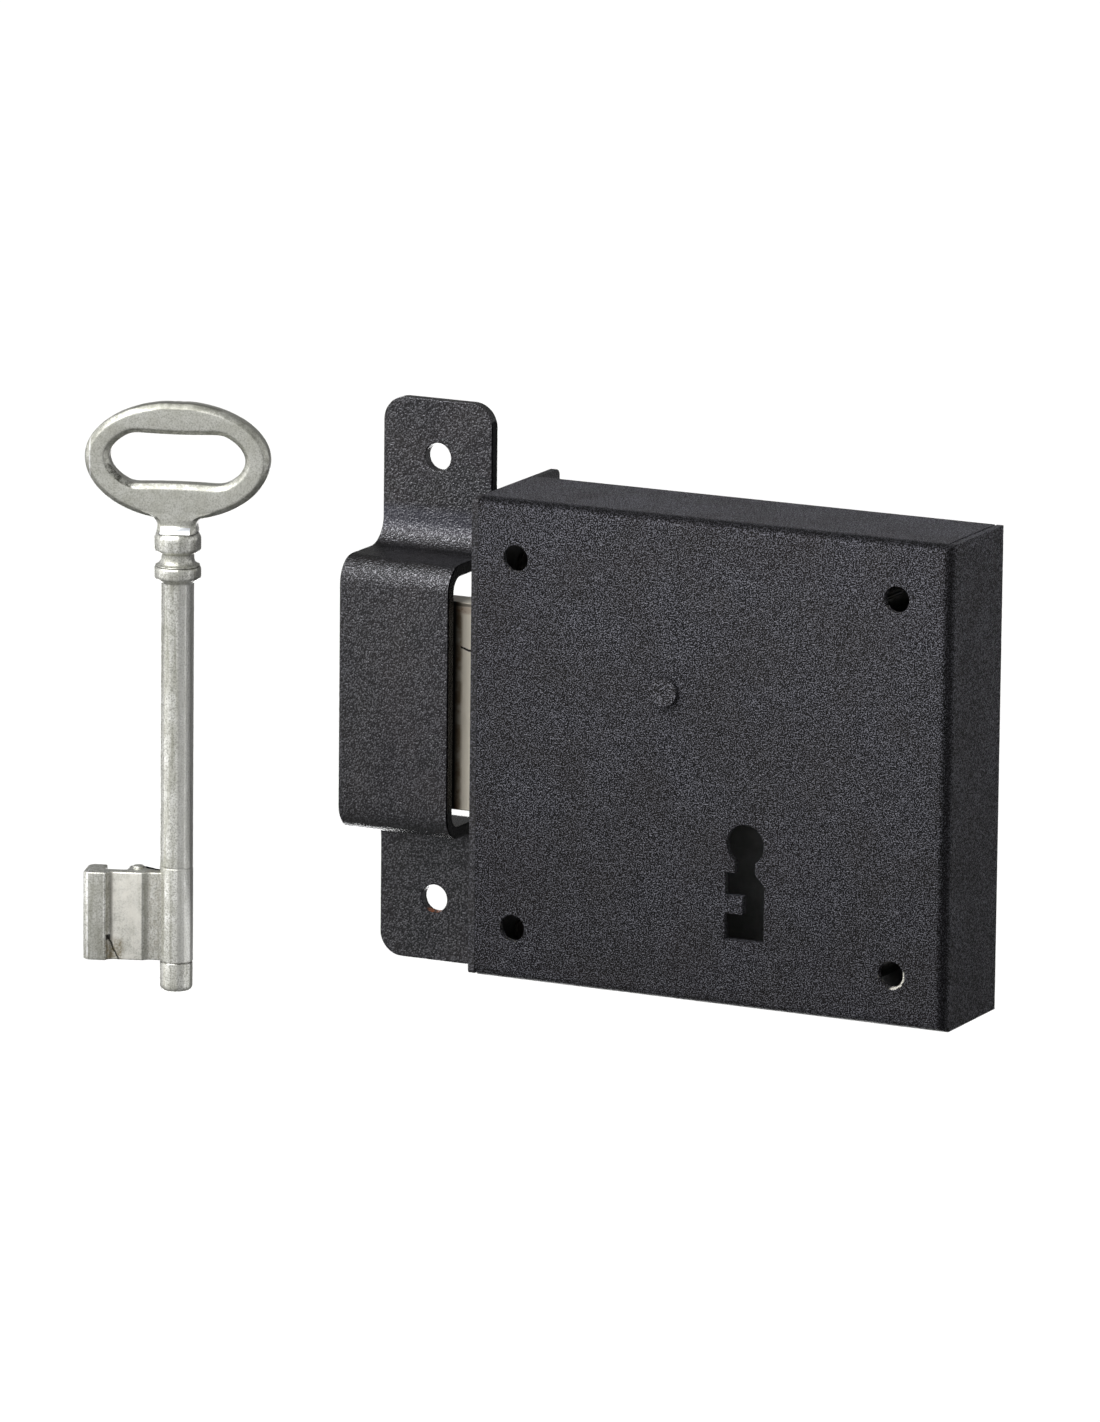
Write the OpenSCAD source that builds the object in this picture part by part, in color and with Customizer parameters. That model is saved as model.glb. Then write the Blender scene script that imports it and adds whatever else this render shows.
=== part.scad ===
// Rim box lock: a folded box with a deadlocking bolt, its strap keeper and its key.
// Millimetres, +Z up, +Y into the door, +X away from the door's closing edge.
// The origin is the centre of the four screw holes, on the plane of the door's face.

/* [Case] */
// Width of the case, from the forend's outer face to the right-hand wall
case_w = 107; // [102:0.5:125]
// Height of the case
case_h = 100; // [96:0.5:115]
// Depth of the case, from its front face to the door
case_d = 25; // [24:0.5:32]
// Thickness of the folded cover sheet
sheet_t = 1.5; // [1:0.1:2]
// Outer radius of the cover's folds
fold_r = 2.5; // [2.2:0.1:4]
// Width of the open seams at the cover's right-hand corners
seam_gap = 0.4; // [0.2:0.1:0.8]
// Gap round the back plate inside the cover
plate_gap = 0.2; // [0.1:0.05:0.4]
// Thickness of the back plate
back_t = 1.5; // [1.2:0.1:2]

/* [Case screws] */
// Distance of the left-hand screw holes from the forend's outer face
hole_left = 10; // [9:0.5:11]
// Distance of the right-hand screw holes from the case's right-hand side
hole_right = 12; // [10:0.5:14]
// Distance of the lower screw holes from the case's lower edge
hole_low = 11; // [10:0.5:12]
// Distance of the upper screw holes from the case's upper edge
hole_top = 12; // [10.5:0.5:12.5]
// Diameter of the case's screw holes
hole_d = 5.5; // [4.5:0.1:6]

/* [Forend] */
// Thickness of the forend plate
forend_t = 1.5; // [1.2:0.1:2]
// Length of forend behind the case, which laps the door's edge
forend_lap = 12.5; // [5:0.5:20]
// How far the forend's ends lie inside the height of the case
forend_inset = 0.5; // [0:0.1:1]
// Radius of the forend's rear corners
forend_r = 1.5; // [0.5:0.1:3]
// Radius of the forend's front corners
forend_front_r = 0.7; // [0.2:0.1:1]
// Height of each angle that ties the forend to the back plate
angle_h = 16; // [15:0.5:17]
// Length of the angles along the back plate
angle_len = 20.5; // [20:0.5:22]
// Depth of the angles along the forend
angle_d = 12; // [10:0.5:14]
// Thickness of the angles
angle_t = 1.5; // [1.2:0.1:2]
// Diameter of the small countersunk rivets
rivet_d = 3; // [2.5:0.1:3.4]
// Distance between the two rivets of each pair
rivet_pitch = 9; // [8:0.5:10]

/* [Bolt] */
// Thickness of the bolt plate
bolt_t = 6; // [5:0.1:7]
// Height of the bolt's lower edge above the case's lower edge
bolt_low = 32; // [31:0.1:33]
// Depth of the bolt's upper edge below the case's upper edge
bolt_drop = 24.4; // [23.5:0.1:26]
// Travel of the bolt from thrown to withdrawn
throw = 20; // [16:0.5:20]
// How far the bolt's end stays outside the forend when withdrawn
bolt_end = 0; // [0:0.1:1]
// Length of the full-height head inside the case when thrown
head_in = 16; // [14:0.5:18]
// Distance of the tail's end from the case's right-hand side when withdrawn
tail_room = 7; // [5:0.5:9]
// Running clearance of the bolt in the forend and on its guide
bolt_play = 0.3; // [0.2:0.05:0.5]
// Depth of the two locking notches in the bolt's top edge
notch_h = 2.2; // [2:0.1:3]

/* [Guide stud] */
// Distance of the guide stud from the forend's outer face
stud_in_x = 43.9; // [43:0.1:46]
// Height of the guide stud above the bolt's middle
stud_up = 10.1; // [8:0.1:11]
// Diameter of the guide stud
stud_d = 6; // [5:0.1:6.5]
// Diameter of the stud's shoulder and of its sleeve
shoulder_d = 10; // [9:0.1:11]
// How far the stud's riveted end stands out of the cover
stud_proud = 1.1; // [0.5:0.1:1.5]
// Diameter of the riveted tenons in the back plate
tenon_d = 3.5; // [3:0.1:4]

/* [Keyhole] */
// Distance of the key's axis from the forend's outer face
key_in_x = 62.3; // [62:0.1:63]
// Height of the key's axis above the case's lower edge
key_in_z = 34.1; // [33.5:0.1:35]
// Diameter of the keyhole's round part
keyhole_d = 8.4; // [8:0.1:9]
// Clearance between the key's bit and the keyhole
key_play = 0.4; // [0.3:0.05:0.6]
// Height of the tail's lower edge above the key's axis
tail_rise = 12; // [11.5:0.1:12.5]

/* [Tumbler] */
// Thickness of the tumbler plate
tumbler_t = 2; // [1.5:0.1:2.5]
// Gap between the tumbler and the bolt's front face
tumbler_gap = 0.4; // [0.3:0.05:0.6]
// Distance of the tumbler's pivot from the case's right-hand side
pivot_in_x = 15; // [14:0.1:16]
// Height of the tumbler's pivot above the key's axis
pivot_dz = 3.9; // [3:0.1:4.5]
// Diameter of the tumbler's pivot pin
pivot_d = 5; // [4.5:0.1:5.5]
// Radial clearance of the tumbler on its pivot pin
pivot_play = 0.08; // [0.04:0.01:0.1]
// Height of the tumbler's belly above the key's axis
belly_rise = 15.3; // [15:0.1:16]
// Diameter of the peg that stops the tumbler
peg_d = 4; // [3.5:0.1:4.5]
// Thickness of the locking spring's steel strip
spring_t = 0.8; // [0.6:0.05:1]
// Width of the locking spring's steel strip
spring_w = 9.4; // [9:0.1:10]
// Diameter of the slotted post that holds the locking spring
post_d = 7; // [6.5:0.1:7.5]

/* [Pillars] */
// Diameter of the pillars between cover and back plate
pillar_d = 7; // [6:0.1:8]
// Distance of the upper pillar from the forend's outer face
upper_pillar_x = 36; // [34:0.5:38]
// Distance of the upper pillar from the case's upper edge
upper_pillar_drop = 9.5; // [8:0.5:11]
// Distance of the left-hand lower pillar from the forend's outer face
left_pillar_x = 30; // [28:0.5:32]
// Height of the left-hand lower pillar above the case's lower edge
left_pillar_z = 12; // [10:0.5:14]
// Distance of the right-hand lower pillar from the case's right-hand side
right_pillar_x = 23; // [21:0.5:25]
// Height of the right-hand lower pillar above the case's lower edge
right_pillar_z = 9; // [8:0.5:10]
// Diameter of the screws that hold the back plate
screw_d = 3; // [2.5:0.1:3.5]
// Head diameter of the screws that hold the back plate
screw_head_d = 5.6; // [5:0.1:6]
// Length of the screws that hold the back plate
screw_len = 8; // [6:0.5:12]

/* [Keeper] */
// Width of the keeper's strap
strap_w = 25; // [22:0.5:30]
// Thickness of the keeper's strap
strap_t = 2.5; // [2:0.1:3]
// Distance between the keeper and the forend when the door is shut
keeper_gap = 6.6; // [3:0.1:6.6]
// Length of the lower ear, from the keeper's end to the outside of the bridge
lower_ear = 30; // [28:0.5:31]
// Length of the upper ear, from the keeper's end to the outside of the bridge
upper_ear = 30.6; // [28:0.1:34]
// How far the bridge's outside reaches below the bolt
bridge_below = 5.7; // [4:0.1:8]
// How far the bridge's outside reaches above the bolt
bridge_above = 8.1; // [5:0.1:10]
// How far the bridge stands off the door frame
bridge_d = 22; // [20.5:0.5:26]
// Outer radius of the bridge's folds
bridge_r = 5.5; // [4:0.5:8]
// Outer radius of the folds where the ears begin
ear_fold_r = 8; // [6:0.5:10]
// Radius of the ears' corners
ear_r = 5; // [3:0.5:8]
// Height of the lower screw hole above the keeper's lower end
keeper_hole_low = 13.1; // [11:0.1:15]
// Depth of the upper screw hole below the keeper's upper end
keeper_hole_top = 11.9; // [11:0.1:15]
// Diameter of the keeper's screw holes
keeper_hole_d = 5.8; // [5:0.1:6.5]

/* [Key] */
// Length of the key
key_len = 122.3; // [115:0.1:130]
// Diameter of the key's shank
shank_d = 6.8; // [6:0.1:7.4]
// Length of the tip beyond the bit
tip_len = 6.3; // [4:0.1:7]
// Length of the bit along the shank
bit_len = 18.4; // [16:0.1:19]
// Reach of the bit from the shank's axis
bit_reach = 18.8; // [18.5:0.1:19]
// Half the thickness of the bit over its ribs
bit_half = 3.95; // [3.6:0.05:4.2]
// Half the thickness of the web beside the shank
web_half = 1.9; // [1.5:0.1:2.2]
// Depth of the bit's front face under its front rib
face_drop = 1.3; // [0.8:0.1:1.8]
// Distance from the shank's axis to the shoulder of the bit
shoulder_at = 6.4; // [6:0.1:7]
// Distance from the shank's axis to the near side of the ward groove
groove_at = 10.3; // [9.8:0.1:10.8]
// Width of the ward groove
groove_w = 4.6; // [4:0.1:5]
// Diameter of the key's two collars
collar_d = 9.7; // [8.5:0.1:11]
// Width of the key's bow
bow_w = 38; // [34:0.5:42]
// Height of the key's bow above its widest point
bow_up = 11.6; // [10.5:0.1:13]
// Height of the key's bow below its widest point
bow_down = 12.6; // [11.5:0.1:14]
// Thickness of the key's bow
bow_t = 4.6; // [4:0.1:5.5]
// Width of the opening in the bow
bow_hole_w = 28; // [24:0.5:30]
// Height of the opening in the bow
bow_hole_h = 10; // [8:0.2:12]
// Place of the standing key, from the forend's outer face, case front and case bottom
key_stand = [-52.5, -28.3, -3];
// Turn of the standing key about its shank
key_turn = 18; // [0:1:30]

/* [Hidden] */

// Spacing of the case's screw holes, and the edges of the case about their centre
hole_dx = case_w - hole_left - hole_right;
hole_dz = case_h - hole_low - hole_top;
x_left = -hole_dx / 2 - hole_left;
x_right = x_left + case_w;
x_in = x_left + forend_t;
z_bot = -hole_dz / 2 - hole_low;
z_top = z_bot + case_h;
y_front = -case_d;
y_cover = y_front + sheet_t;
y_plate = -back_t;

// Bolt, stud and key
bolt_y0 = y_front + (case_d - bolt_t) / 2;
bolt_y1 = bolt_y0 + bolt_t;
bolt_bot = z_bot + bolt_low;
bolt_top = z_top - bolt_drop;
x_tail = x_right - tail_room - throw;
stud_x = x_left + stud_in_x;
stud_z = (bolt_bot + bolt_top) / 2 + stud_up;
key_x = x_left + key_in_x;
key_z = z_bot + key_in_z;
tail_low = key_z + tail_rise;
bit_corner = norm([bit_reach, bit_half]);
talon_w = 2 * sqrt(pow(bit_corner, 2) - pow(tail_rise, 2)) - throw;
talon_clear = 0.6;
talon_top = key_z + bit_corner + talon_clear;

// Tumbler on its shouldered post, with its ring and the peg under its arm
pivot_x = x_right - pivot_in_x;
pivot_z = key_z + pivot_dz;
tumbler_y1 = bolt_y0 - tumbler_gap;
tumbler_y0 = tumbler_y1 - tumbler_t;
side_gap = 0.1;
finger_x = key_x - 2.3;
hub_wall = 3;
ring_t = 0.8;
ring_y1 = tumbler_y0 - side_gap;
peg_dx = 8;
peg_x = pivot_x - peg_dx;
peg_drop = 0.4;
peg_z = tail_low - peg_drop - peg_d / 2;

// Locking spring: its nib over the notch, the level of its leaf and its slope up to the post
spring_side = 0.4;
spring_y0 = tumbler_y0 - spring_side;
spring_y1 = spring_y0 + spring_w;
nib_x = key_x - 10.8;
nib_half = 3;
nib_clear = 0.4;
nib_low = bolt_top - notch_h + nib_clear;
toe_len = 4;
toe_rise = 2;
leaf_rise = 1.6;
leaf_z = bolt_top + leaf_rise;
leaf_bend = [key_x + 5.7, leaf_z];
post_rise = 6.8;
post_x = pivot_x - peg_dx;
post_z = leaf_z + post_rise;
leaf_angle = atan2(post_z - leaf_bend[1], post_x - leaf_bend[0]);

// Fixings: rivets lie flush, and a formed end closes them inside
seat_gap = 0.05;
screw_land = 0.2;
rivet_sink = 1;
rivet_end = 0.8;
rivet_edge = 4.5;
forend_rivet_y = y_plate - angle_t - rivet_edge;
plate_rivet_x = x_in + angle_len - rivet_edge;
pillar_at = [[x_left + upper_pillar_x, z_top - upper_pillar_drop],
    [x_left + left_pillar_x, z_bot + left_pillar_z],
    [x_right - right_pillar_x, z_bot + right_pillar_z]];
angle_mid = [-hole_dz / 2, hole_dz / 2];

// Keeper: its bridge spans the bolt, and the ears run on from it
bridge_h = bolt_top - bolt_bot + bridge_below + bridge_above;
bridge_z = bolt_bot - bridge_below + bridge_h / 2;

// Key: the bow's widest point, its neck and the start of the lower collar
bow_z = key_len - bow_up;
neck_w = 7.8;
collar_drop = 26;
collar_z = bow_z - collar_drop;

// Facets of the round outlines
round_n = 48;
fine_n = 72;

// Extrudes an outline in X and Z from one depth to another
module in_y(y0, y1) { translate([0, y1, 0]) rotate([90, 0, 0]) linear_extrude(y1 - y0) children(); }
// Extrudes an outline in Y and Z from one X to another
module in_x(x0, x1) { translate([x0, 0, 0]) rotate([90, 0, 90]) linear_extrude(x1 - x0) children(); }
// Extrudes an outline in X and Y from one height to another
module in_z(z0, z1) { translate([0, 0, z0]) linear_extrude(z1 - z0) children(); }
// A rectangle from one corner to the opposite one
module box2(a, b) { translate(a) square(b - a); }
// A round rod along Y
module rod(x, z, y0, y1, d) {
    translate([x, y1, z]) rotate([90, 0, 0]) cylinder(d = d, h = y1 - y0, $fn = round_n);
}
// A cone along Y, with its diameter at the first and at the second depth
module cone(x, z, y0, y1, d0, d1) {
    translate([x, y1, z]) rotate([90, 0, 0]) cylinder(d1 = d1, d2 = d0, h = y1 - y0, $fn = round_n);
}
// The four screw holes of the case, with a margin past both faces
module case_holes(y0, y1) {
    for (sx = [-1, 1], sz = [-1, 1]) rod(sx * hole_dx / 2, sz * hole_dz / 2, y0 - 1, y1 + 1, hole_d);
}

// Outline of the keyhole about the key's axis, with the ward that the bit's groove passes
module keyhole_outline() {
    side = bit_half + key_play;
    neck = web_half + key_play;
    low = -(bit_reach + key_play + 0.7);
    shoulder = -(shoulder_at - key_play);
    ward = -(groove_at + key_play);
    ward_low = -(groove_at + groove_w - key_play);
    circle(d = keyhole_d, $fn = fine_n);
    polygon([[-neck, 0], [-neck, shoulder], [-side, shoulder], [-side, ward], [-key_play, ward],
        [-key_play, ward_low], [-side, ward_low], [-side, low], [side, low],
        [side, shoulder - side + neck], [neck, shoulder], [neck, 0]]);
}

// Section of the folded tray: a rectangle from the front, with both front corners round
module tray_section(depth, low, high, r) {
    box2([r, low], [depth, high]);
    box2([0, low + r], [r + 0.01, high - r]);
    for (z = [low + r, high - r]) translate([r, z]) circle(r, $fn = fine_n);
}

// A block with round front edges at the top, the bottom and the right
module tray_block(x0, x1, y0, y1, z0, z1, r) {
    intersection() {
        in_x(x0, x1) translate([y0, 0]) tray_section(y1 - y0, z0, z1, r);
        in_z(z0, z1) union() {
            box2([x0, y0], [x1 - r, y1]);
            box2([x1 - r - 0.01, y0 + r], [x1, y1]);
            translate([x1 - r, y0 + r]) circle(r, $fn = fine_n);
        }
    }
}

module cover() {
    color("#35353a") difference() {
        tray_block(x_in, x_right, y_front, 0, z_bot, z_top, fold_r);
        tray_block(x_in - 1, x_right - sheet_t, y_cover, 1, z_bot + sheet_t, z_top - sheet_t,
            fold_r - sheet_t);
        for (z = [z_bot - 1, z_top - sheet_t])
            translate([x_right - sheet_t - seam_gap, y_front + fold_r, z])
                cube([seam_gap, case_d, sheet_t + 1]);
        case_holes(y_front, y_cover);
        rod(stud_x, stud_z, y_front - 1, y_cover + 1, stud_d + 2 * seat_gap);
        translate([key_x, 0, key_z]) in_y(y_front - 1, y_cover + 1) keyhole_outline();
    }
}

module back_plate() {
    color("#4a4b4d") difference() {
        in_y(y_plate, 0) box2([x_in + plate_gap, z_bot + sheet_t + plate_gap],
            [x_right - sheet_t - plate_gap, z_top - sheet_t - plate_gap]);
        case_holes(y_plate, 0);
        translate([key_x, 0, key_z]) in_y(y_plate - 1, 1) mirror([1, 0]) keyhole_outline();
        for (p = [[stud_x, stud_z], [pivot_x, pivot_z], [peg_x, peg_z], [post_x, post_z]])
            rod(p[0], p[1], y_plate - 1, 1, tenon_d + 2 * seat_gap);
        for (p = pillar_at) {
            rod(p[0], p[1], y_plate - 1, 1, screw_d + 2 * seat_gap);
            cone(p[0], p[1], y_plate + screw_land, -seat_gap, screw_d + 2 * seat_gap,
                screw_head_d + 2 * seat_gap);
            rod(p[0], p[1], -seat_gap - 0.01, 1, screw_head_d + 2 * seat_gap);
        }
        for (z = angle_mid, s = [-1, 1]) {
            rod(plate_rivet_x, z + s * rivet_pitch / 2, y_plate - 1, 1, rivet_d + 2 * seat_gap);
            cone(plate_rivet_x, z + s * rivet_pitch / 2, -rivet_sink, 0.01, rivet_d + 2 * seat_gap,
                rivet_d + 2 * rivet_sink + 2 * seat_gap);
        }
    }
}

// A rivet along +X with its flush head at the origin
module rivet(grip) {
    rotate([0, 90, 0]) {
        cylinder(d1 = rivet_d + 2 * rivet_sink, d2 = rivet_d, h = rivet_sink, $fn = round_n);
        cylinder(d = rivet_d, h = grip + rivet_end, $fn = round_n);
        translate([0, 0, grip]) cylinder(d = rivet_d + 1.4, h = rivet_end, $fn = round_n);
    }
}

module forend() {
    z0 = z_bot + forend_inset;
    z1 = z_top - forend_inset;
    color("#38383a") difference() {
        in_x(x_left, x_in) union() {
            box2([y_front + forend_front_r, z0], [forend_lap - forend_r, z1]);
            box2([y_front, z0 + forend_r], [forend_lap, z1 - forend_r]);
            for (z = [z0 + forend_r, z1 - forend_r])
                translate([forend_lap - forend_r, z]) circle(forend_r, $fn = round_n);
            for (z = [z0 + forend_front_r, z1 - forend_front_r])
                translate([y_front + forend_front_r, z]) circle(forend_front_r, $fn = round_n);
            box2([y_front, z0 + forend_front_r], [0, z1 - forend_front_r]);
        }
        in_x(x_left - 1, x_in + 1) box2([bolt_y0 - bolt_play, bolt_bot - bolt_play],
            [bolt_y1 + bolt_play, bolt_top + bolt_play]);
        for (z = angle_mid, s = [-1, 1])
            translate([x_left, forend_rivet_y, z + s * rivet_pitch / 2]) rotate([0, 90, 0]) {
                translate([0, 0, -1]) cylinder(d = rivet_d + 2 * seat_gap, h = forend_t + 2, $fn = round_n);
                cylinder(d1 = rivet_d + 2 * rivet_sink + 2 * seat_gap, d2 = rivet_d + 2 * seat_gap,
                    h = rivet_sink, $fn = round_n);
            }
    }
}

// An angle of sheet: one leg on the forend, one on the back plate, with a screw hole
module angle(mid) {
    difference() {
        in_z(mid - angle_h / 2, mid + angle_h / 2) union() {
            box2([x_in, y_plate - angle_t], [x_in + angle_len, y_plate]);
            box2([x_in, y_plate - angle_t - angle_d], [x_in + angle_t, y_plate]);
        }
        rod(-hole_dx / 2, mid, y_plate - angle_t - 1, 0, hole_d);
        for (s = [-1, 1]) {
            rod(plate_rivet_x, mid + s * rivet_pitch / 2, y_plate - angle_t - 1, 0,
                rivet_d + 2 * seat_gap);
            translate([x_in - 1, forend_rivet_y, mid + s * rivet_pitch / 2]) rotate([0, 90, 0])
                cylinder(d = rivet_d + 2 * seat_gap, h = angle_t + 2, $fn = round_n);
        }
    }
}

module upper_angle() { color("#8d8f91") angle(angle_mid[1]); }
module lower_angle() { color("#8d8f91") angle(angle_mid[0]); }

module forend_rivets() {
    color("#6f7173") for (z = angle_mid, s = [-1, 1])
        translate([x_left, forend_rivet_y, z + s * rivet_pitch / 2]) rivet(forend_t + angle_t);
}

module plate_rivets() {
    color("#6f7173") for (z = angle_mid, s = [-1, 1])
        translate([plate_rivet_x, 0, z + s * rivet_pitch / 2]) rotate([0, 0, -90])
            rivet(back_t + angle_t);
}

// Round pillars on the cover's inner face, bored for the screws of the back plate
module pillars() {
    color("#9b9da0") for (p = pillar_at) difference() {
        rod(p[0], p[1], y_cover, y_plate, pillar_d);
        rod(p[0], p[1], y_plate - screw_len, y_plate + 1, screw_d + 2 * seat_gap);
    }
}

module back_screws() {
    color("#b0b2b5") for (p = pillar_at) difference() {
        union() {
            rod(p[0], p[1], y_plate - screw_len + 0.5, -seat_gap, screw_d);
            cone(p[0], p[1], y_plate + screw_land, -seat_gap, screw_d, screw_head_d);
        }
        translate([p[0] - screw_head_d, -0.6, p[1] - 0.4]) cube([2 * screw_head_d, 1, 0.8]);
    }
}

// Stud that guides the bolt: riveted in the cover and in the back plate
module guide_stud() {
    color("#3a3a3d") union() {
        rod(stud_x, stud_z, y_front - stud_proud, bolt_y1 + bolt_play + 0.01, stud_d);
        rod(stud_x, stud_z, bolt_y1 + bolt_play, y_plate, shoulder_d);
        rod(stud_x, stud_z, y_plate - 0.01, -seat_gap, tenon_d);
    }
}

module guide_sleeve() {
    color("#a4a6a8") difference() {
        rod(stud_x, stud_z, y_cover, bolt_y0 - bolt_play, shoulder_d);
        rod(stud_x, stud_z, y_cover - 1, bolt_y0, stud_d + 2 * seat_gap);
    }
}

// The bolt in its thrown place: head, tail, guide slot, talon and two locking notches
module bolt() {
    x_end = x_left - throw - bolt_end;
    x_head = x_left + head_in;
    head_step = 8;
    slope = tail_low - bolt_bot - head_step;
    corner = 3;
    notch_flat = 0.6;
    slot_r = stud_d / 2 + bolt_play;
    talon_x = key_x - throw / 2;
    color("#a39a8c") difference() {
        in_y(bolt_y0, bolt_y1) difference() {
            polygon([[x_end, bolt_bot], [x_head, bolt_bot], [x_head, bolt_bot + head_step],
                [x_head + slope, tail_low], [talon_x - talon_w / 2, tail_low],
                [talon_x - talon_w / 2, talon_top], [talon_x + talon_w / 2, talon_top],
                [talon_x + talon_w / 2, tail_low], [x_tail - corner, tail_low],
                [x_tail, tail_low + corner], [x_tail, bolt_top - corner],
                [x_tail - corner, bolt_top], [x_end, bolt_top]]);
            for (x = [nib_x, nib_x - throw])
                polygon([[x - notch_h - 1, bolt_top + 1], [x - notch_flat, bolt_top - notch_h],
                    [x + notch_flat, bolt_top - notch_h], [x + notch_h + 1, bolt_top + 1]]);
        }
        for (x = [stud_x - throw, stud_x]) rod(x, stud_z, bolt_y0 - 1, bolt_y1 + 1, 2 * slot_r);
        in_y(bolt_y0 - 1, bolt_y1 + 1) box2([stud_x - throw, stud_z - slot_r],
            [stud_x, stud_z + slot_r]);
    }
}

// The tumbler: a flat plate in front of the bolt's tail, lifted by the key's bit
module tumbler() {
    belly = key_z + belly_rise;
    rest_gap = 0.3;
    arm_low = peg_z + peg_d / 2 + rest_gap;
    top = leaf_z - spring_t / 2 - rest_gap;
    hub = pivot_d / 2 + hub_wall;
    belly_end = key_x + 4;
    arm = peg_x - belly_end;
    color("#8f9193") difference() {
        in_y(tumbler_y0, tumbler_y1) union() {
            translate([pivot_x, pivot_z]) circle(hub, $fn = round_n);
            polygon([[pivot_x, pivot_z - hub / 2], [pivot_x + hub, pivot_z], [pivot_x + hub / 2, pivot_z + 9],
                [belly_end + arm * 0.45, belly + 15], [finger_x + 6, top - 5], [finger_x + 4, top],
                [finger_x - 3, top], [finger_x - 3.6, belly + 9], [key_x - 9, belly + 4],
                [key_x - 6, belly + 0.6], [key_x - 2, belly], [belly_end, belly],
                [belly_end + arm * 0.34, belly - 1], [belly_end + arm * 0.72, arm_low],
                [peg_x + 3, arm_low]]);
        }
        rod(pivot_x, pivot_z, tumbler_y0 - 1, tumbler_y1 + 1, pivot_d + 2 * pivot_play);
    }
}

// Shouldered pivot of the tumbler, with a groove for its retaining ring
module tumbler_post() {
    groove_d = pivot_d - 1;
    color("#a8aaac") union() {
        rod(pivot_x, pivot_z, tumbler_y1 + side_gap, y_plate, pivot_d + 3);
        rod(pivot_x, pivot_z, ring_y1, tumbler_y1 + 2 * side_gap, pivot_d);
        rod(pivot_x, pivot_z, ring_y1 - ring_t - 0.1, ring_y1 + 0.01, groove_d);
        rod(pivot_x, pivot_z, ring_y1 - ring_t - 1, ring_y1 - ring_t - 0.09, pivot_d);
        rod(pivot_x, pivot_z, y_plate - 0.01, -seat_gap, tenon_d);
    }
}

// Open spring-steel ring in the pivot's groove
module retaining_ring() {
    color("#3f4042") difference() {
        rod(pivot_x, pivot_z, ring_y1 - ring_t, ring_y1, pivot_d + 4);
        rod(pivot_x, pivot_z, ring_y1 - ring_t - 1, ring_y1 + 1, pivot_d - 1 + 2 * seat_gap);
        in_y(ring_y1 - ring_t - 1, ring_y1 + 1) box2([pivot_x, pivot_z - pivot_d / 2 + 0.9],
            [pivot_x + pivot_d, pivot_z + pivot_d / 2 - 0.9]);
    }
}

module stop_peg() {
    color("#a8aaac") union() {
        rod(peg_x, peg_z, tumbler_y0 - 0.3, y_plate, peg_d);
        rod(peg_x, peg_z, y_plate - 0.01, -seat_gap, tenon_d);
    }
}

// Post with a saw cut that grips the locking spring
module spring_post() {
    color("#a8aaac") difference() {
        union() {
            rod(post_x, post_z, spring_y0 - 0.3, y_plate, post_d);
            rod(post_x, post_z, y_plate - 0.01, -seat_gap, tenon_d);
        }
        translate([post_x, 0, post_z]) rotate([0, -leaf_angle, 0])
            translate([-post_d, spring_y0 - 1, -spring_t / 2 - seat_gap])
                cube([2 * post_d, spring_w + 1 + 2 * seat_gap, spring_t + 2 * seat_gap]);
    }
}

// One straight length of the spring's strip, between two points in X and Z, with round ends
module strip(a, b) {
    d = b - a;
    translate(a) rotate(atan2(d[1], d[0])) translate([0, -spring_t / 2]) square([norm(d), spring_t]);
    for (p = [a, b]) translate(p) circle(d = spring_t, $fn = 24);
}

// Locking spring: a leaf whose nib drops into the bolt's notch and whose flat the tumbler lifts
module locking_spring() {
    dir = [cos(leaf_angle), sin(leaf_angle)];
    path = [[nib_x - nib_half - toe_len, leaf_z + toe_rise], [nib_x - nib_half, leaf_z],
        [nib_x, nib_low + spring_t / 2], [nib_x + nib_half, leaf_z], leaf_bend,
        [post_x, post_z] + dir * (post_d / 2 + 1.5)];
    color("#5b6068") in_y(spring_y0, spring_y1)
        for (i = [0 : len(path) - 2]) strip(path[i], path[i + 1]);
}

// Section of the keeper's strap in Y and Z: ears on the frame, legs and a bridge
module strap_section() {
    half = bridge_h / 2;
    r_in = ear_fold_r - strap_t;
    leg_y = -bridge_d;
    for (s = [-1, 1]) translate([0, bridge_z]) mirror([0, s > 0 ? 0 : 1]) {
        box2([-strap_t, half + r_in], [0, half + (s > 0 ? upper_ear : lower_ear)]);
        box2([leg_y + bridge_r, half - strap_t], [-strap_t - r_in, half]);
        box2([leg_y, -0.01], [leg_y + strap_t, half - bridge_r]);
        translate([leg_y + bridge_r, half - bridge_r]) quarter_ring(bridge_r, 90);
        translate([-strap_t - r_in, half + r_in]) quarter_ring(ear_fold_r, -90);
    }
}

// A quarter of a ring as thick as the strap; its turn picks the quarter
module quarter_ring(r, turn) {
    rotate(turn) difference() {
        intersection() {
            circle(r, $fn = fine_n);
            square(r + 1);
        }
        circle(r - strap_t, $fn = fine_n);
    }
}

module keeper() {
    x1 = x_left - keeper_gap;
    x0 = x1 - strap_w;
    z0 = bridge_z - bridge_h / 2 - lower_ear;
    z1 = bridge_z + bridge_h / 2 + upper_ear;
    color("#3b3b41") difference() {
        intersection() {
            in_x(x0, x1) strap_section();
            in_y(-bridge_d - 1, 1) union() {
                box2([x0 + ear_r, z0], [x1 - ear_r, z1]);
                box2([x0, z0 + ear_r], [x1, z1 - ear_r]);
                for (x = [x0 + ear_r, x1 - ear_r], z = [z0 + ear_r, z1 - ear_r])
                    translate([x, z]) circle(ear_r, $fn = round_n);
            }
        }
        for (z = [z0 + keeper_hole_low, z1 - keeper_hole_top])
            rod((x0 + x1) / 2, z, -strap_t - 1, 1, keeper_hole_d);
    }
}

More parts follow.
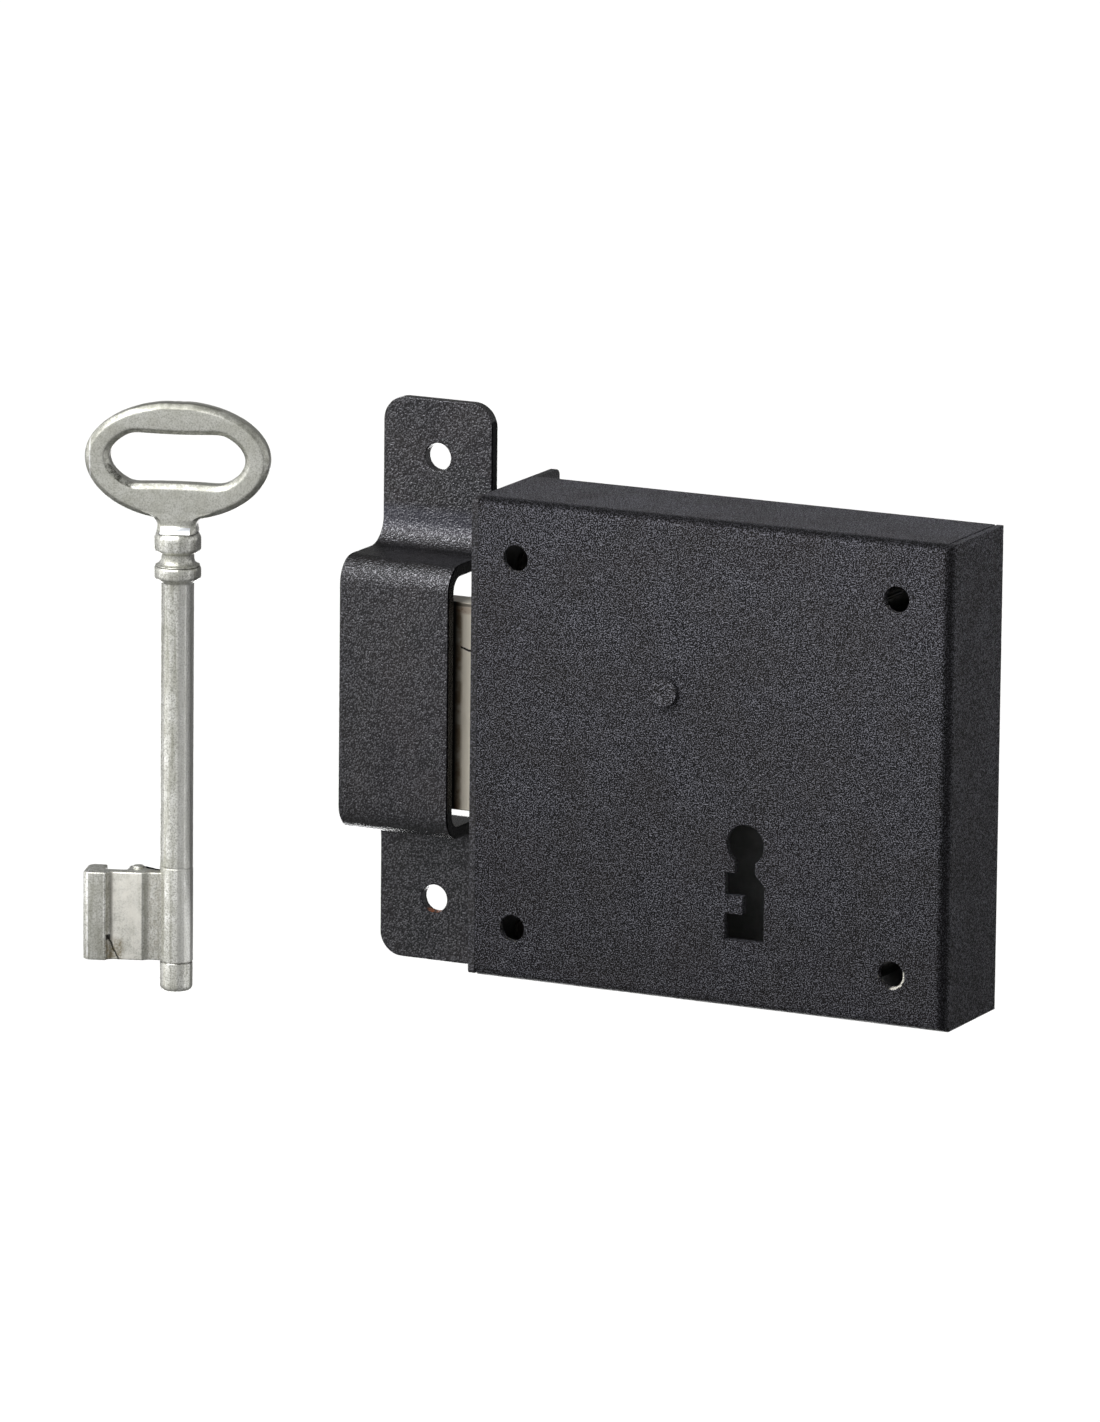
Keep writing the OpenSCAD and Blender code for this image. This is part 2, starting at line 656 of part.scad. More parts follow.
// Points of half an ellipse, from one angle to another
function oval(a, b, from, to, n) =
    [for (i = [0 : n]) let (t = from + (to - from) * i / n) [a * cos(t), b * sin(t)]];

// Outline of the bow about its widest point, drawn in by a bevel
module bow_outline(inset) {
    r = 2.6;
    neck_z = -bow_down * sqrt(1 - pow((neck_w / 2 + r) / (bow_w / 2), 2));
    polygon(concat(oval(bow_w / 2 - inset, bow_up - inset, 0, 180, 36),
        oval(bow_w / 2 - inset, bow_down - inset, 180, 360, 36)));
    difference() {
        box2([-neck_w / 2 - r, collar_z - bow_z + 8.6], [neck_w / 2 + r, neck_z + 1.5]);
        for (s = [-1, 1]) {
            translate([s * (neck_w / 2 + r), neck_z - r]) circle(r + inset, $fn = fine_n);
            box2([s > 0 ? neck_w / 2 - inset : -neck_w / 2 - r - 1, collar_z - bow_z],
                [s > 0 ? neck_w / 2 + r + 1 : -neck_w / 2 + inset, neck_z - r]);
        }
    }
}

// Opening of the bow: an oval with its top and bottom drawn in towards the middle
module bow_opening(grow) {
    intersection() {
        polygon(oval(bow_hole_w / 2 + grow, bow_hole_h * 0.69 + grow, 0, 360, 72));
        polygon([for (s = [-1, 1], i = [-8 : 8]) let (x = s * i / 8 * bow_hole_w * 0.6)
            [-x, s * (bow_hole_h / 2 + grow + 0.5 * pow(2.2 * x / bow_hole_w, 2))]]);
    }
}

// Outline of the bit: the distance from the shank's axis, and the side towards the front face
module bit_outline() {
    far = groove_at + groove_w;
    face = bit_half - face_drop;
    polygon([[0, -web_half], [shoulder_at, -web_half], [shoulder_at + 0.2, -bit_half],
        [groove_at, -bit_half], [groove_at, 0], [far, 0], [far, -bit_half],
        [bit_reach - 1, -bit_half], [bit_reach, -bit_half + 1], [bit_reach, bit_half - 1],
        [bit_reach - 1, bit_half], [far - 0.1, bit_half], [far - 0.5, face + 0.4],
        [far - 1.4, face], [shoulder_at + 0.8, face], [shoulder_at, web_half], [0, web_half]]);
}

// Half section of the shank with its rounded tip and two collars
module shank_section() {
    r = shank_d / 2;
    c = collar_d / 2;
    polygon([[0, 0], [r - 1, 0], [r - 0.3, 0.3], [r, 1], [r, collar_z + 0.3], [c - 0.6, collar_z + 1.1],
        [c, collar_z + 2.2], [c, collar_z + 3.1], [r, collar_z + 4.4], [r, collar_z + 5.8],
        [c - 0.7, collar_z + 6.6], [c, collar_z + 7.5], [c, collar_z + 9.6],
        [c - 0.7, collar_z + 11.4], [0, collar_z + 12.4]]);
}

module key() {
    bevel = 1.1;
    bevel_d = 0.8;
    color("#b9bab4") translate([x_left, y_front, z_bot] + key_stand) rotate(key_turn) difference() {
        union() {
            rotate_extrude($fn = fine_n) shank_section();
            in_z(tip_len, tip_len + bit_len) rotate(180) bit_outline();
            translate([0, 0, bow_z]) {
                in_y(-bow_t / 2 + bevel_d, bow_t / 2 - bevel_d) bow_outline(0);
                in_y(-bow_t / 2, bow_t / 2) bow_outline(bevel);
            }
        }
        translate([0, 0, bow_z]) {
            in_y(-bow_t, bow_t) bow_opening(0);
            for (y = [-bow_t / 2 - 1, bow_t / 2 - bevel_d]) in_y(y, y + bevel_d + 1) bow_opening(bevel);
        }
    }
}

cover();
back_plate();
forend();
upper_angle();
lower_angle();
forend_rivets();
plate_rivets();
pillars();
back_screws();
guide_stud();
guide_sleeve();
bolt();
tumbler();
tumbler_post();
retaining_ring();
stop_peg();
spring_post();
locking_spring();
keeper();
key();
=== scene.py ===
"""Rim box lock: folded black case, deadbolt thrown into a strap keeper, and its long key."""
import math

import bmesh
import bpy
import numpy as np
from mathutils import Matrix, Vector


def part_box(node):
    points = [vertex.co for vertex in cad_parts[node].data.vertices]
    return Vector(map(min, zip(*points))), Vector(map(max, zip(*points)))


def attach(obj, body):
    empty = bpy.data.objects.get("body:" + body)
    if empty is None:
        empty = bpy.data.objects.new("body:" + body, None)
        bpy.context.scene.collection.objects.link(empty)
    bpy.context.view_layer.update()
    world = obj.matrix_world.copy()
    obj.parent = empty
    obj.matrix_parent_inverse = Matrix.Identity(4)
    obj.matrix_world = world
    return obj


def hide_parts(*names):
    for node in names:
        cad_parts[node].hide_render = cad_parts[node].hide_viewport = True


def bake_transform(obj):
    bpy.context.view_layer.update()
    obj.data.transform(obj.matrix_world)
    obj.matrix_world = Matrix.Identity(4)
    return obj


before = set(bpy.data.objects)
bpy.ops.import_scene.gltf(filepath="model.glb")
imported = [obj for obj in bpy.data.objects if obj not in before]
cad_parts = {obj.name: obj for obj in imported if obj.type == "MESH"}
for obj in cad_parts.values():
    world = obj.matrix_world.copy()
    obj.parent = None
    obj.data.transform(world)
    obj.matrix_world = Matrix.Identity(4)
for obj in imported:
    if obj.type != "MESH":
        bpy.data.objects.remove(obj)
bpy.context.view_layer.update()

# Back plate. A zinc-plated steel plate, blanked and countersunk, that closes the case
# against the door. The posts, the pillars' screws and the angles' rivets are fixed in it.


def linear(code):
    """A hex sRGB colour as the linear colour that a shader's sockets take, fully opaque."""
    parts = [int(code[i:i + 2], 16) / 255 for i in (1, 3, 5)]
    return [p / 12.92 if p <= 0.04045 else ((p + 0.055) / 1.055) ** 2.4 for p in parts] + [1.0]


def add(tree, kind, inputs=None, **settings):
    """Adds a shader node: settings are its own properties, inputs are values or feeding sockets."""
    node = tree.nodes.new("ShaderNode" + kind)
    for name, value in settings.items():
        setattr(node, name, value)
    for name, value in (inputs or {}).items():
        if isinstance(value, bpy.types.NodeSocket):
            tree.links.new(value, node.inputs[name])
        else:
            node.inputs[name].default_value = value
    return node


def new_material(name, values):
    """A material with one Principled shader, its values set. Returns the material, its node tree,
    its shader and a socket that gives each point's place in millimetres."""
    material = bpy.data.materials.new(name)
    material.use_nodes = True
    tree = material.node_tree
    tree.nodes.clear()
    surface = add(tree, "BsdfPrincipled", values)
    add(tree, "OutputMaterial", {"Surface": surface.outputs[0]})
    place = add(tree, "Mapping", {"Vector": add(tree, "TexCoord").outputs["Object"],
                                  "Scale": (1000, 1000, 1000)})
    return material, tree, surface, place.outputs[0]


def rolled_steel(name, base, dull, rough, line_mm=0.25):
    """Rolled or plated sheet: lines from the rolls up its height, 12 mm long and drawn further
    apart than real ones so that they show, and a clouded tone and sheen where it was greased."""
    line_length, cloud_mm, line_depth = 12, 5, 0.00003
    material, tree, surface, mm = new_material(name, {"Metallic": 0.7})
    lines = add(tree, "TexNoise", {"Vector": add(tree, "Mapping", {
        "Vector": mm, "Scale": (1 / line_mm, 1 / line_mm, 1 / line_length)}).outputs[0],
        "Scale": 1.0, "Detail": 3.0})
    cloud = add(tree, "TexNoise", {"Vector": mm, "Scale": 1 / cloud_mm, "Detail": 7.0,
                                   "Roughness": 0.7})
    tone = add(tree, "MapRange", {"Value": cloud.outputs[0], "From Min": 0.35, "From Max": 0.65})
    colour = add(tree, "Mix", {0: tone.outputs[0], 6: linear(base), 7: linear(dull)},
                 data_type="RGBA")
    tree.links.new(colour.outputs[2], surface.inputs["Base Color"])
    shine = add(tree, "MapRange", {"Value": cloud.outputs[0], "From Min": 0.3, "From Max": 0.7,
                                   "To Min": rough - 0.02, "To Max": rough + 0.04})
    tree.links.new(shine.outputs[0], surface.inputs["Roughness"])
    relief = add(tree, "Bump", {"Height": lines.outputs[0], "Strength": 0.25,
                                "Distance": line_depth})
    tree.links.new(relief.outputs[0], surface.inputs["Normal"])
    return material


def placed(name, data):
    """A new object that holds a mesh, a lamp or a camera, linked to the scene."""
    thing = bpy.data.objects.new(name, data)
    bpy.context.scene.collection.objects.link(thing)
    return thing


def finished(node, body, material, edge_mm=0.15):
    """A copy of a CAD node's mesh with its seams merged, its flat faces joined, its curves shaded
    smooth and its sharp edges broken by a narrow bevel. It stands for the node and rides on the
    body, if one is named."""
    seam, flat_angle, sharp_angle = 2e-6, math.radians(0.4), math.radians(35)
    work = bmesh.new()
    work.from_mesh(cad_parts[node].data)
    bmesh.ops.remove_doubles(work, verts=work.verts, dist=seam)
    bmesh.ops.dissolve_limit(work, angle_limit=flat_angle, verts=work.verts, edges=work.edges)
    mesh = bpy.data.meshes.new(node + "_finished")
    work.to_mesh(mesh)
    work.free()
    if "custom_normal" in mesh.attributes:
        mesh.attributes.remove(mesh.attributes["custom_normal"])
    mesh.shade_smooth()
    mesh.set_sharp_from_angle(angle=sharp_angle)
    piece = placed(mesh.name, mesh)
    broken = piece.modifiers.new("broken_edges", "BEVEL")
    broken.width = edge_mm * 0.001
    broken.segments = 2
    broken.limit_method = "ANGLE"
    broken.angle_limit = sharp_angle
    broken.harden_normals = True
    mesh.materials.append(material)
    if body:
        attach(piece, body)
    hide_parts(node)
    return piece


# Zinc-plated sheet: an even grey with a soft sheen that clouds where hands and damp got to it.
zinc_sheet = rolled_steel("zinc_plated_sheet", "#c4c6c6", "#aeb0b0", 0.44)
finished("back_plate", "lock_case", zinc_sheet)

# Forend. A strip of the same black-coated steel, folded over the door's closing edge. Two
# angles, punched sheet like the back plate, join it to the plate with flush rivets.


def powder_coat(name, dark, light, grain_mm, depth_mm, rough, dull=0.4, fade=0.0, ior=1.5):
    """Baked textured powder on steel: a close skin of bumps of one grain size that gleam on top
    and stay dull between, their tops painted a lighter colour as a painted highlight, a faint brown
    cloud in tone, and a few pin-point chips down to the primer. The grain is drawn about as coarse
    as the photograph shows it. A given share darkens the coat's colour and gleam down the case's
    height: painted shade, for light that falls off towards the bottom."""
    cloud_mm, chip_apart, chip_size, case_top, case_bottom = 11, 1.3, 0.13, 50.0, -50.0
    material, tree, surface, mm = new_material(name, {
        "IOR": ior, "Specular Tint": linear("#f8f8ff")})
    grain = add(tree, "TexNoise", {"Vector": mm, "Scale": 1 / grain_mm, "Detail": 0.5,
                                   "Roughness": 0.5})
    cloud = add(tree, "TexNoise", {"Vector": mm, "Scale": 1 / cloud_mm, "Detail": 5.0})
    bumps = add(tree, "MapRange", {"Value": grain.outputs[0], "From Min": 0.47, "From Max": 0.66})
    gleam = add(tree, "MapRange", {"Value": bumps.outputs[0], "To Min": dull, "To Max": 1.0})
    height = add(tree, "SeparateXYZ", {"Vector": mm})
    # painted shade: the coat's colour and gleam darken by a given share towards the case's bottom
    lower = add(tree, "MapRange", {"Value": height.outputs["Z"], "From Min": case_top,
                                   "From Max": case_bottom, "To Min": 1.0, "To Max": 1 - fade})
    shine = add(tree, "Math", {0: gleam.outputs[0], 1: lower.outputs[0]}, operation="MULTIPLY")
    tree.links.new(shine.outputs[0], surface.inputs["Specular IOR Level"])
    # painted highlight: the grain's tops take the lighter colour
    base = add(tree, "Mix", {0: bumps.outputs[0], 6: linear(dark), 7: linear(light)},
               data_type="RGBA")
    tint = add(tree, "MapRange", {"Value": cloud.outputs[0], "From Min": 0.35, "From Max": 0.65,
                                  "To Max": 0.35})
    warmed = add(tree, "Mix", {0: tint.outputs[0], 6: base.outputs[2], 7: linear("#241f1a")},
                 data_type="RGBA")
    sunk = add(tree, "VectorMath", {0: warmed.outputs[2], "Scale": lower.outputs[0]},
               operation="SCALE")
    cells = add(tree, "TexVoronoi", {"Vector": mm, "Scale": 1 / chip_apart})
    lot = add(tree, "SeparateColor", {"Color": cells.outputs["Color"]})
    size = add(tree, "MapRange", {"Value": lot.outputs[0], "From Min": 0.99, "From Max": 1.0,
                                  "To Min": 0.0, "To Max": chip_size})
    near = add(tree, "Math", {0: cells.outputs["Distance"], 1: size.outputs[0]},
               operation="LESS_THAN")
    colour = add(tree, "Mix", {0: near.outputs[0], 6: sunk.outputs[0], 7: linear("#a3a29f")},
                 data_type="RGBA")
    tree.links.new(colour.outputs[2], surface.inputs["Base Color"])
    gloss = add(tree, "MapRange", {"Value": cloud.outputs[0], "From Min": 0.3, "From Max": 0.7,
                                   "To Min": rough - 0.04, "To Max": rough + 0.05})
    tree.links.new(gloss.outputs[0], surface.inputs["Roughness"])
    relief = add(tree, "Bump", {"Height": grain.outputs[0], "Strength": 1.0,
                                "Distance": depth_mm * 0.001})
    tree.links.new(relief.outputs[0], surface.inputs["Normal"])
    return material, tree, surface, mm


# Fine powder coat: a black like the cover's, but its grain is flatter and gleams less.
forend_coat, *_ = powder_coat("black_powder_coat_fine", "#040405", "#303036", 0.3, 0.16, 0.42)
finished("forend", "lock_case", forend_coat, edge_mm=0.2)
# Pickled sheet: without zinc, so a darker and duller grey than the back plate's.
angle_sheet = rolled_steel("pickled_steel_sheet", "#8b8c8c", "#6c6b69", 0.45)
finished("upper_angle", "lock_case", angle_sheet)
finished("lower_angle", "lock_case", angle_sheet)

# Rivets. Drawn steel, four through the forend and the angles and four through the back plate,
# each peened flush outside.
# Peened steel: a warm mid grey, worked smooth by the hammer, so a narrower sheen than the sheet's.
rivet_steel = rolled_steel("peened_rivet_steel", "#96918a", "#6f6a63", 0.38, line_mm=0.4)
finished("forend_rivets", "lock_case", rivet_steel)
finished("plate_rivets", "lock_case", rivet_steel)

# Posts, pegs and pillars. Bar steel, turned to length with a small tenon or a tapped end, and
# riveted or screwed to the back plate; the sleeve runs on the guide stud inside the bolt's slot.


def turned_steel(name, base, dull, rough):
    """Turned bar: rings from the tool's feed, drawn coarser than a real feed so that they show,
    and a thinly spread brown film of oil that lies in clouds."""
    feed_mm, cloud_mm, ring_depth, oil_share = 0.3, 3, 0.00002, 0.25
    material, tree, surface, mm = new_material(name, {"Metallic": 1.0})
    rings = add(tree, "TexWave", {"Vector": mm, "Scale": 1 / (feed_mm * 6.28), "Distortion": 1.2,
                                  "Detail": 2.0}, wave_type="BANDS", bands_direction="Y")
    cloud = add(tree, "TexNoise", {"Vector": mm, "Scale": 1 / cloud_mm, "Detail": 4.0})
    tone = add(tree, "MapRange", {"Value": cloud.outputs[0], "From Min": 0.35, "From Max": 0.7})
    colour = add(tree, "Mix", {0: tone.outputs[0], 6: linear(base), 7: linear(dull)},
                 data_type="RGBA")
    oiled = add(tree, "Mix", {0: oil_share, 6: colour.outputs[2], 7: linear("#8d8577")},
                data_type="RGBA")
    tree.links.new(oiled.outputs[2], surface.inputs["Base Color"])
    shine = add(tree, "MapRange", {"Value": rings.outputs["Fac"], "To Min": rough - 0.05,
                                   "To Max": rough + 0.08})
    tree.links.new(shine.outputs[0], surface.inputs["Roughness"])
    relief = add(tree, "Bump", {"Height": rings.outputs["Fac"], "Strength": 0.3,
                                "Distance": ring_depth})
    tree.links.new(relief.outputs[0], surface.inputs["Normal"])
    return material


# Turned bar: a cool grey whose fine rings draw the light out into a streak along each post.
post_steel = turned_steel("turned_bar_steel", "#a9aaab", "#807f7d", 0.3)
for part in ("pillars", "guide_sleeve", "tumbler_post", "stop_peg", "spring_post"):
    finished(part, "lock_case", post_steel, edge_mm=0.12)

# Bolt. One bar of hot-rolled steel with a thinner tail, sawn and milled, never plated: grey
# mill scale with brown and orange rust where it meets the damp at the door's edge.


def within(tree, along, low, high, soft):
    """1 where a length lies between low and high, fading to 0 over a soft edge in millimetres."""
    rise = add(tree, "MapRange", {"Value": along, "From Min": low - soft, "From Max": low})
    fall = add(tree, "MapRange", {"Value": along, "From Min": high, "From Max": high + soft,
                                  "To Min": 1.0, "To Max": 0.0})
    return add(tree, "Math", {0: rise.outputs[0], 1: fall.outputs[0]},
               operation="MULTIPLY").outputs[0]


def both(tree, *shares):
    """The product of several shares: the first a socket, the others sockets or numbers."""
    total = shares[0]
    for share in shares[1:]:
        total = add(tree, "Math", {0: total, 1: share}, operation="MULTIPLY").outputs[0]
    return total


def region(tree, place, **bands):
    """1 inside a box, fading to 0 outside it: for each axis named, its low and high end and the
    width of its soft edge, in millimetres."""
    return both(tree, *(within(tree, place.outputs[axis], *band) for axis, band in bands.items()))


def marked(tree, socket, marks):
    """Lays marks over what feeds a colour socket, each a share and a hex colour."""
    under = socket.links[0].from_socket
    for share, code in marks:
        under = add(tree, "Mix", {0: share, 6: under, 7: linear(code)}, data_type="RGBA"
                    ).outputs[2]
    tree.links.new(under, socket)


# Mill scale and rust: a warm pale grey whose sheen comes and goes, orange in patches, all pitted.
pit_mm, scale_mm, rust_mm, pit_depth = 0.5, 4, 7, 0.00008
bolt_steel, tree, surface, mm = new_material("rusted_rolled_bolt_steel", {"Metallic": 0.45})
pits = add(tree, "TexNoise", {"Vector": mm, "Scale": 1 / pit_mm, "Detail": 4.0,
                              "Roughness": 0.7})
scale = add(tree, "TexNoise", {"Vector": mm, "Scale": 1 / scale_mm, "Detail": 6.0,
                               "Roughness": 0.65})
tone = add(tree, "MapRange", {"Value": scale.outputs[0], "From Min": 0.35, "From Max": 0.65})
bare = add(tree, "Mix", {0: tone.outputs[0], 6: linear("#e4dbca"), 7: linear("#bdb09d")},
           data_type="RGBA")
rust = add(tree, "TexNoise", {"Vector": add(tree, "Mapping", {
    "Vector": mm, "Location": (7, 3, 0)}).outputs[0], "Scale": 1 / rust_mm, "Detail": 6.0,
    "Roughness": 0.7})
rusty = add(tree, "MapRange", {"Value": rust.outputs[0], "From Min": 0.55, "From Max": 0.68})
colour = add(tree, "Mix", {0: rusty.outputs[0], 6: bare.outputs[2], 7: linear("#9a6238")},
             data_type="RGBA")
tree.links.new(colour.outputs[2], surface.inputs["Base Color"])
shine = add(tree, "MapRange", {"Value": scale.outputs[0], "To Min": 0.35, "To Max": 0.65})
tree.links.new(shine.outputs[0], surface.inputs["Roughness"])

# What shows between keeper and case: a black painted shadow of the keeper's strap beside it, a
# patchy brown stained band next to it that also stands as painted half shade, a pale painted
# highlight further out, damp rust, a dark painted shade line under the top edge, painted light on
# the top face, and a crack.
strap_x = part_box("keeper")[1].x * 1000
front_y, top_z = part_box("bolt")[0].y * 1000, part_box("bolt")[1].z * 1000
crack_z, crack_slope, crack_ripple = 17.335, 0.35, 1.6
place = add(tree, "SeparateXYZ", {"Vector": mm})
face = (front_y - 0.5, front_y + 0.15, 0.1)
patchy = add(tree, "MapRange", {"Value": scale.outputs[0], "From Min": 0.42, "From Max": 0.56,
                                "To Min": 0.35}).outputs[0]
slanted = add(tree, "VectorMath", {0: mm, 1: (crack_slope, 0, 1)}, operation="DOT_PRODUCT")
rippled = add(tree, "Math", {0: scale.outputs[0], 1: crack_ripple,
                             2: slanted.outputs["Value"]}, operation="MULTIPLY_ADD").outputs[0]
crack_from = crack_z + crack_slope * strap_x
# painted highlight on the bolt's strip
rubbed = region(tree, place, X=(strap_x - 0.1, strap_x + 2.1, 1.2), Y=face)
# painted light on the bolt's top face
worn_top = region(tree, place, Z=(top_z - 0.08, top_z + 0.9, 0.1))
# patchy brown staining that also stands as painted half shade
stain = both(tree, region(tree, place, X=(strap_x - 2.9, strap_x - 0.5, 0.8), Y=face), patchy, 0.8)
damp = both(tree, region(tree, place, X=(strap_x - 0.5, strap_x + 3.1, 1.2), Y=face,
                         Z=(top_z - 1.9, top_z - 1.2, 0.7)), patchy)
# painted shade line just under the bolt's top edge
lip = both(tree, region(tree, place, Y=face, Z=(top_z - 0.75, top_z - 0.35, 0.25)), 0.7)
# painted shadow of the keeper's strap, black on the bolt's front face
grease = region(tree, place, X=(strap_x - 3.8, strap_x - 1.7, 1.7), Y=face)
crack = both(tree, region(tree, place, X=(strap_x - 0.3, strap_x + 2.1, 0.2), Y=face),
             within(tree, rippled, crack_from, crack_from + 0.3, 0.12))
marked(tree, surface.inputs["Base Color"], [
    (rubbed, "#fbf3e2"), (worn_top, "#f9f3e6"), (stain, "#8a7354"), (damp, "#94602c"),
    (lip, "#3a2c1e"), (grease, "#0b0806"), (crack, "#1a120c")])
relief = add(tree, "Bump", {"Height": pits.outputs[0], "Strength": 0.6, "Distance": pit_depth})
tree.links.new(relief.outputs[0], surface.inputs["Normal"])
finished("bolt", "bolt", bolt_steel, edge_mm=0.3)

# Tumbler. A plate pressed from steel sheet, that turns on its post in front of the bolt's tail.
# The key's bit lifts its belly, and its arm comes to rest on the stop peg.
# Pressed sheet: a warm mid grey, darker than the plated plates, with a fair sheen from wear.
tumbler_steel = rolled_steel("pressed_tumbler_steel", "#8f8d88", "#6b6863", 0.4)
finished("tumbler", "tumbler", tumbler_steel, edge_mm=0.12)

# Locking spring and retaining ring. Spring strip, hardened and blued: dark blue-grey with a
# straw tint where the temper ran on. The ring holds the tumbler on its post.
blued_strip = rolled_steel("blued_spring_strip", "#4d5664", "#6b5f4c", 0.32)
# The leaf rides on no body, and its place is baked into its mesh.
spring = finished("locking_spring", None, blued_strip, edge_mm=0.08)
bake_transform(spring)
finished("retaining_ring", "lock_case", blued_strip, edge_mm=0.08)

# Cover. One sheet of mild steel cut, punched and folded into a tray over the works, then coated
# in textured black powder. Hole rims are chipped where screws have rubbed.


def duller(tree, surface, share, least):
    """Lets the coat's gleam sink to the least where the share is 1."""
    gleam = surface.inputs["Specular IOR Level"].links[0].from_socket
    tree.links.new(add(tree, "MapRange", {"Value": share, "To Min": gleam, "To Max": least}
                       ).outputs[0], surface.inputs["Specular IOR Level"])


def from_axis(tree, point, x, z):
    """How far a point is off a line that runs along Y through x and z: a vector and its length."""
    offset = add(tree, "VectorMath", {0: point, 1: (x, 0, z)}, operation="SUBTRACT")
    flat = add(tree, "VectorMath", {0: offset.outputs[0], 1: (1, 0, 1)}, operation="MULTIPLY")
    length = add(tree, "VectorMath", {0: flat.outputs[0]}, operation="LENGTH")
    return flat.outputs[0], length.outputs["Value"]


# Textured powder coat: near black, with a raised grain whose tops gleam and are painted grey as a
# painted highlight, all over the face; painted shade darkens it towards the bottom.
cover_coat, tree, surface, mm = powder_coat("black_textured_powder_coat", "#020203", "#6a6a73",
                                            0.26, 0.6, 0.42, dull=0.2, fade=0.4)
# Painted shade lies dark along the two long folds, and the coat's gleam is lowered there, past
# these distances along the slant that looks out of each fold.
top_dark, side_dark = (54.9, 55.3), (54.7, 55.15)
top_fold = add(tree, "VectorMath", {0: mm, 1: (0, -0.5, 0.866)}, operation="DOT_PRODUCT")
side_fold = add(tree, "VectorMath", {0: mm, 1: (0.707, -0.707, 0)}, operation="DOT_PRODUCT")
dark_top = add(tree, "MapRange", {"Value": top_fold.outputs["Value"], "From Min": top_dark[0],
                                  "From Max": top_dark[1], "To Max": 0.75})
dark_side = add(tree, "MapRange", {"Value": side_fold.outputs["Value"], "From Min": side_dark[0],
                                   "From Max": side_dark[1], "To Max": 0.8})
dark_fold = add(tree, "Math", {0: dark_top.outputs[0], 1: dark_side.outputs[0]},
                operation="MAXIMUM").outputs[0]
duller(tree, surface, dark_fold, 0.05)
# Ragged chips sit in a ring round each of the four screw holes, and a painted highlight, pale as
# uncoated steel, shows in a crescent on the outer side of the lower right one.
hole_x, hole_z, chip_mm = 42.5, 38.5, 0.5
crescent_axis, crescent_side = (42.72, -38.7), (0.78, 0, -0.62)
ragged = add(tree, "TexNoise", {"Vector": mm, "Scale": 1 / chip_mm, "Detail": 3.0})
torn = add(tree, "MapRange", {"Value": ragged.outputs[0], "From Min": 0.3, "From Max": 0.7,
                              "To Min": -0.16, "To Max": 0.16})
rare = add(tree, "MapRange", {"Value": ragged.outputs[0], "From Min": 0.6, "From Max": 0.64})
quarter = add(tree, "VectorMath", {0: mm}, operation="ABSOLUTE").outputs[0]
_, rim = from_axis(tree, quarter, hole_x, hole_z)
rim = add(tree, "Math", {0: rim, 1: torn.outputs[0]}, operation="ADD").outputs[0]
chips = both(tree, within(tree, rim, 2.6, 2.95, 0.03), rare.outputs[0])
way, crescent = from_axis(tree, mm, *crescent_axis)
crescent = add(tree, "Math", {0: crescent, 1: torn.outputs[0]}, operation="ADD").outputs[0]
outer = add(tree, "VectorMath", {0: way, 1: crescent_side}, operation="DOT_PRODUCT")
bare = both(tree, within(tree, crescent, 2.0, 2.86, 0.05),
            within(tree, outer.outputs["Value"], 1.7, 9.0, 0.5))
# painted shade along the folds, real chips round the holes, and a painted highlight in the crescent
marked(tree, surface.inputs["Base Color"], [(dark_fold, "#050506"), (chips, "#7d7a74"),
                                            (bare, "#cfccc2")])
finished("cover", "lock_case", cover_coat, edge_mm=0.2)

# Screws and guide stud. Bright zinc countersunk screws hold the pillars; the stud goes through
# cover and back plate, is peened over in front and was coated with the case.
# Bright zinc: turned and plated, so a paler and smoother grey than the posts'.
screw_zinc = turned_steel("bright_zinc_screw", "#c6c8ca", "#9da0a3", 0.28)
finished("back_screws", "lock_case", screw_zinc, edge_mm=0.08)
# Coated stud end: the cover's coat over the peened end, a shade darker.
stud_coat, *_ = powder_coat("coated_stud_end", "#020203", "#64646c", 0.26, 0.5, 0.42, dull=0.2)
finished("guide_stud", "lock_case", stud_coat)

# Keeper. A strap of 2.5 mm flat steel, bent over formers into a bridge with two ears that
# screw to the frame. Its charcoal coat is smoother than the cover's, so it gleams more.
# This coat is also darkened towards the bottom as painted shade, and its grain's tops are painted a
# little lighter as a painted highlight.
keeper_coat, tree, surface, mm = powder_coat("charcoal_keeper_coat", "#010102", "#0e0e14", 0.34,
                                             0.22, 0.23, dull=0.3, fade=0.3, ior=1.7)
# The strap's cut edge and the rise of the bridge are painted black with their gleam lowered, a
# painted shade; the bend under the upper ear is painted lighter, a painted sheen, and the lower
# screw hole has rusted inside.
lower_hole, rust_patch_mm = (-71.6, -40.1), 0.8
place = add(tree, "SeparateXYZ", {"Vector": mm})
# painted shade on the bridge's rise and the strap's cut edge
rise = both(tree, region(tree, place, Y=(-17.5, -7.0, 2.0), Z=(30.0, 38.0, 1.0)), 0.7)
cut_edge = region(tree, place, X=(strap_x - 0.2, strap_x + 1.1, 0.1))
thin = add(tree, "Math", {0: rise, 1: cut_edge}, operation="MAXIMUM").outputs[0]
duller(tree, surface, thin, 0.03)
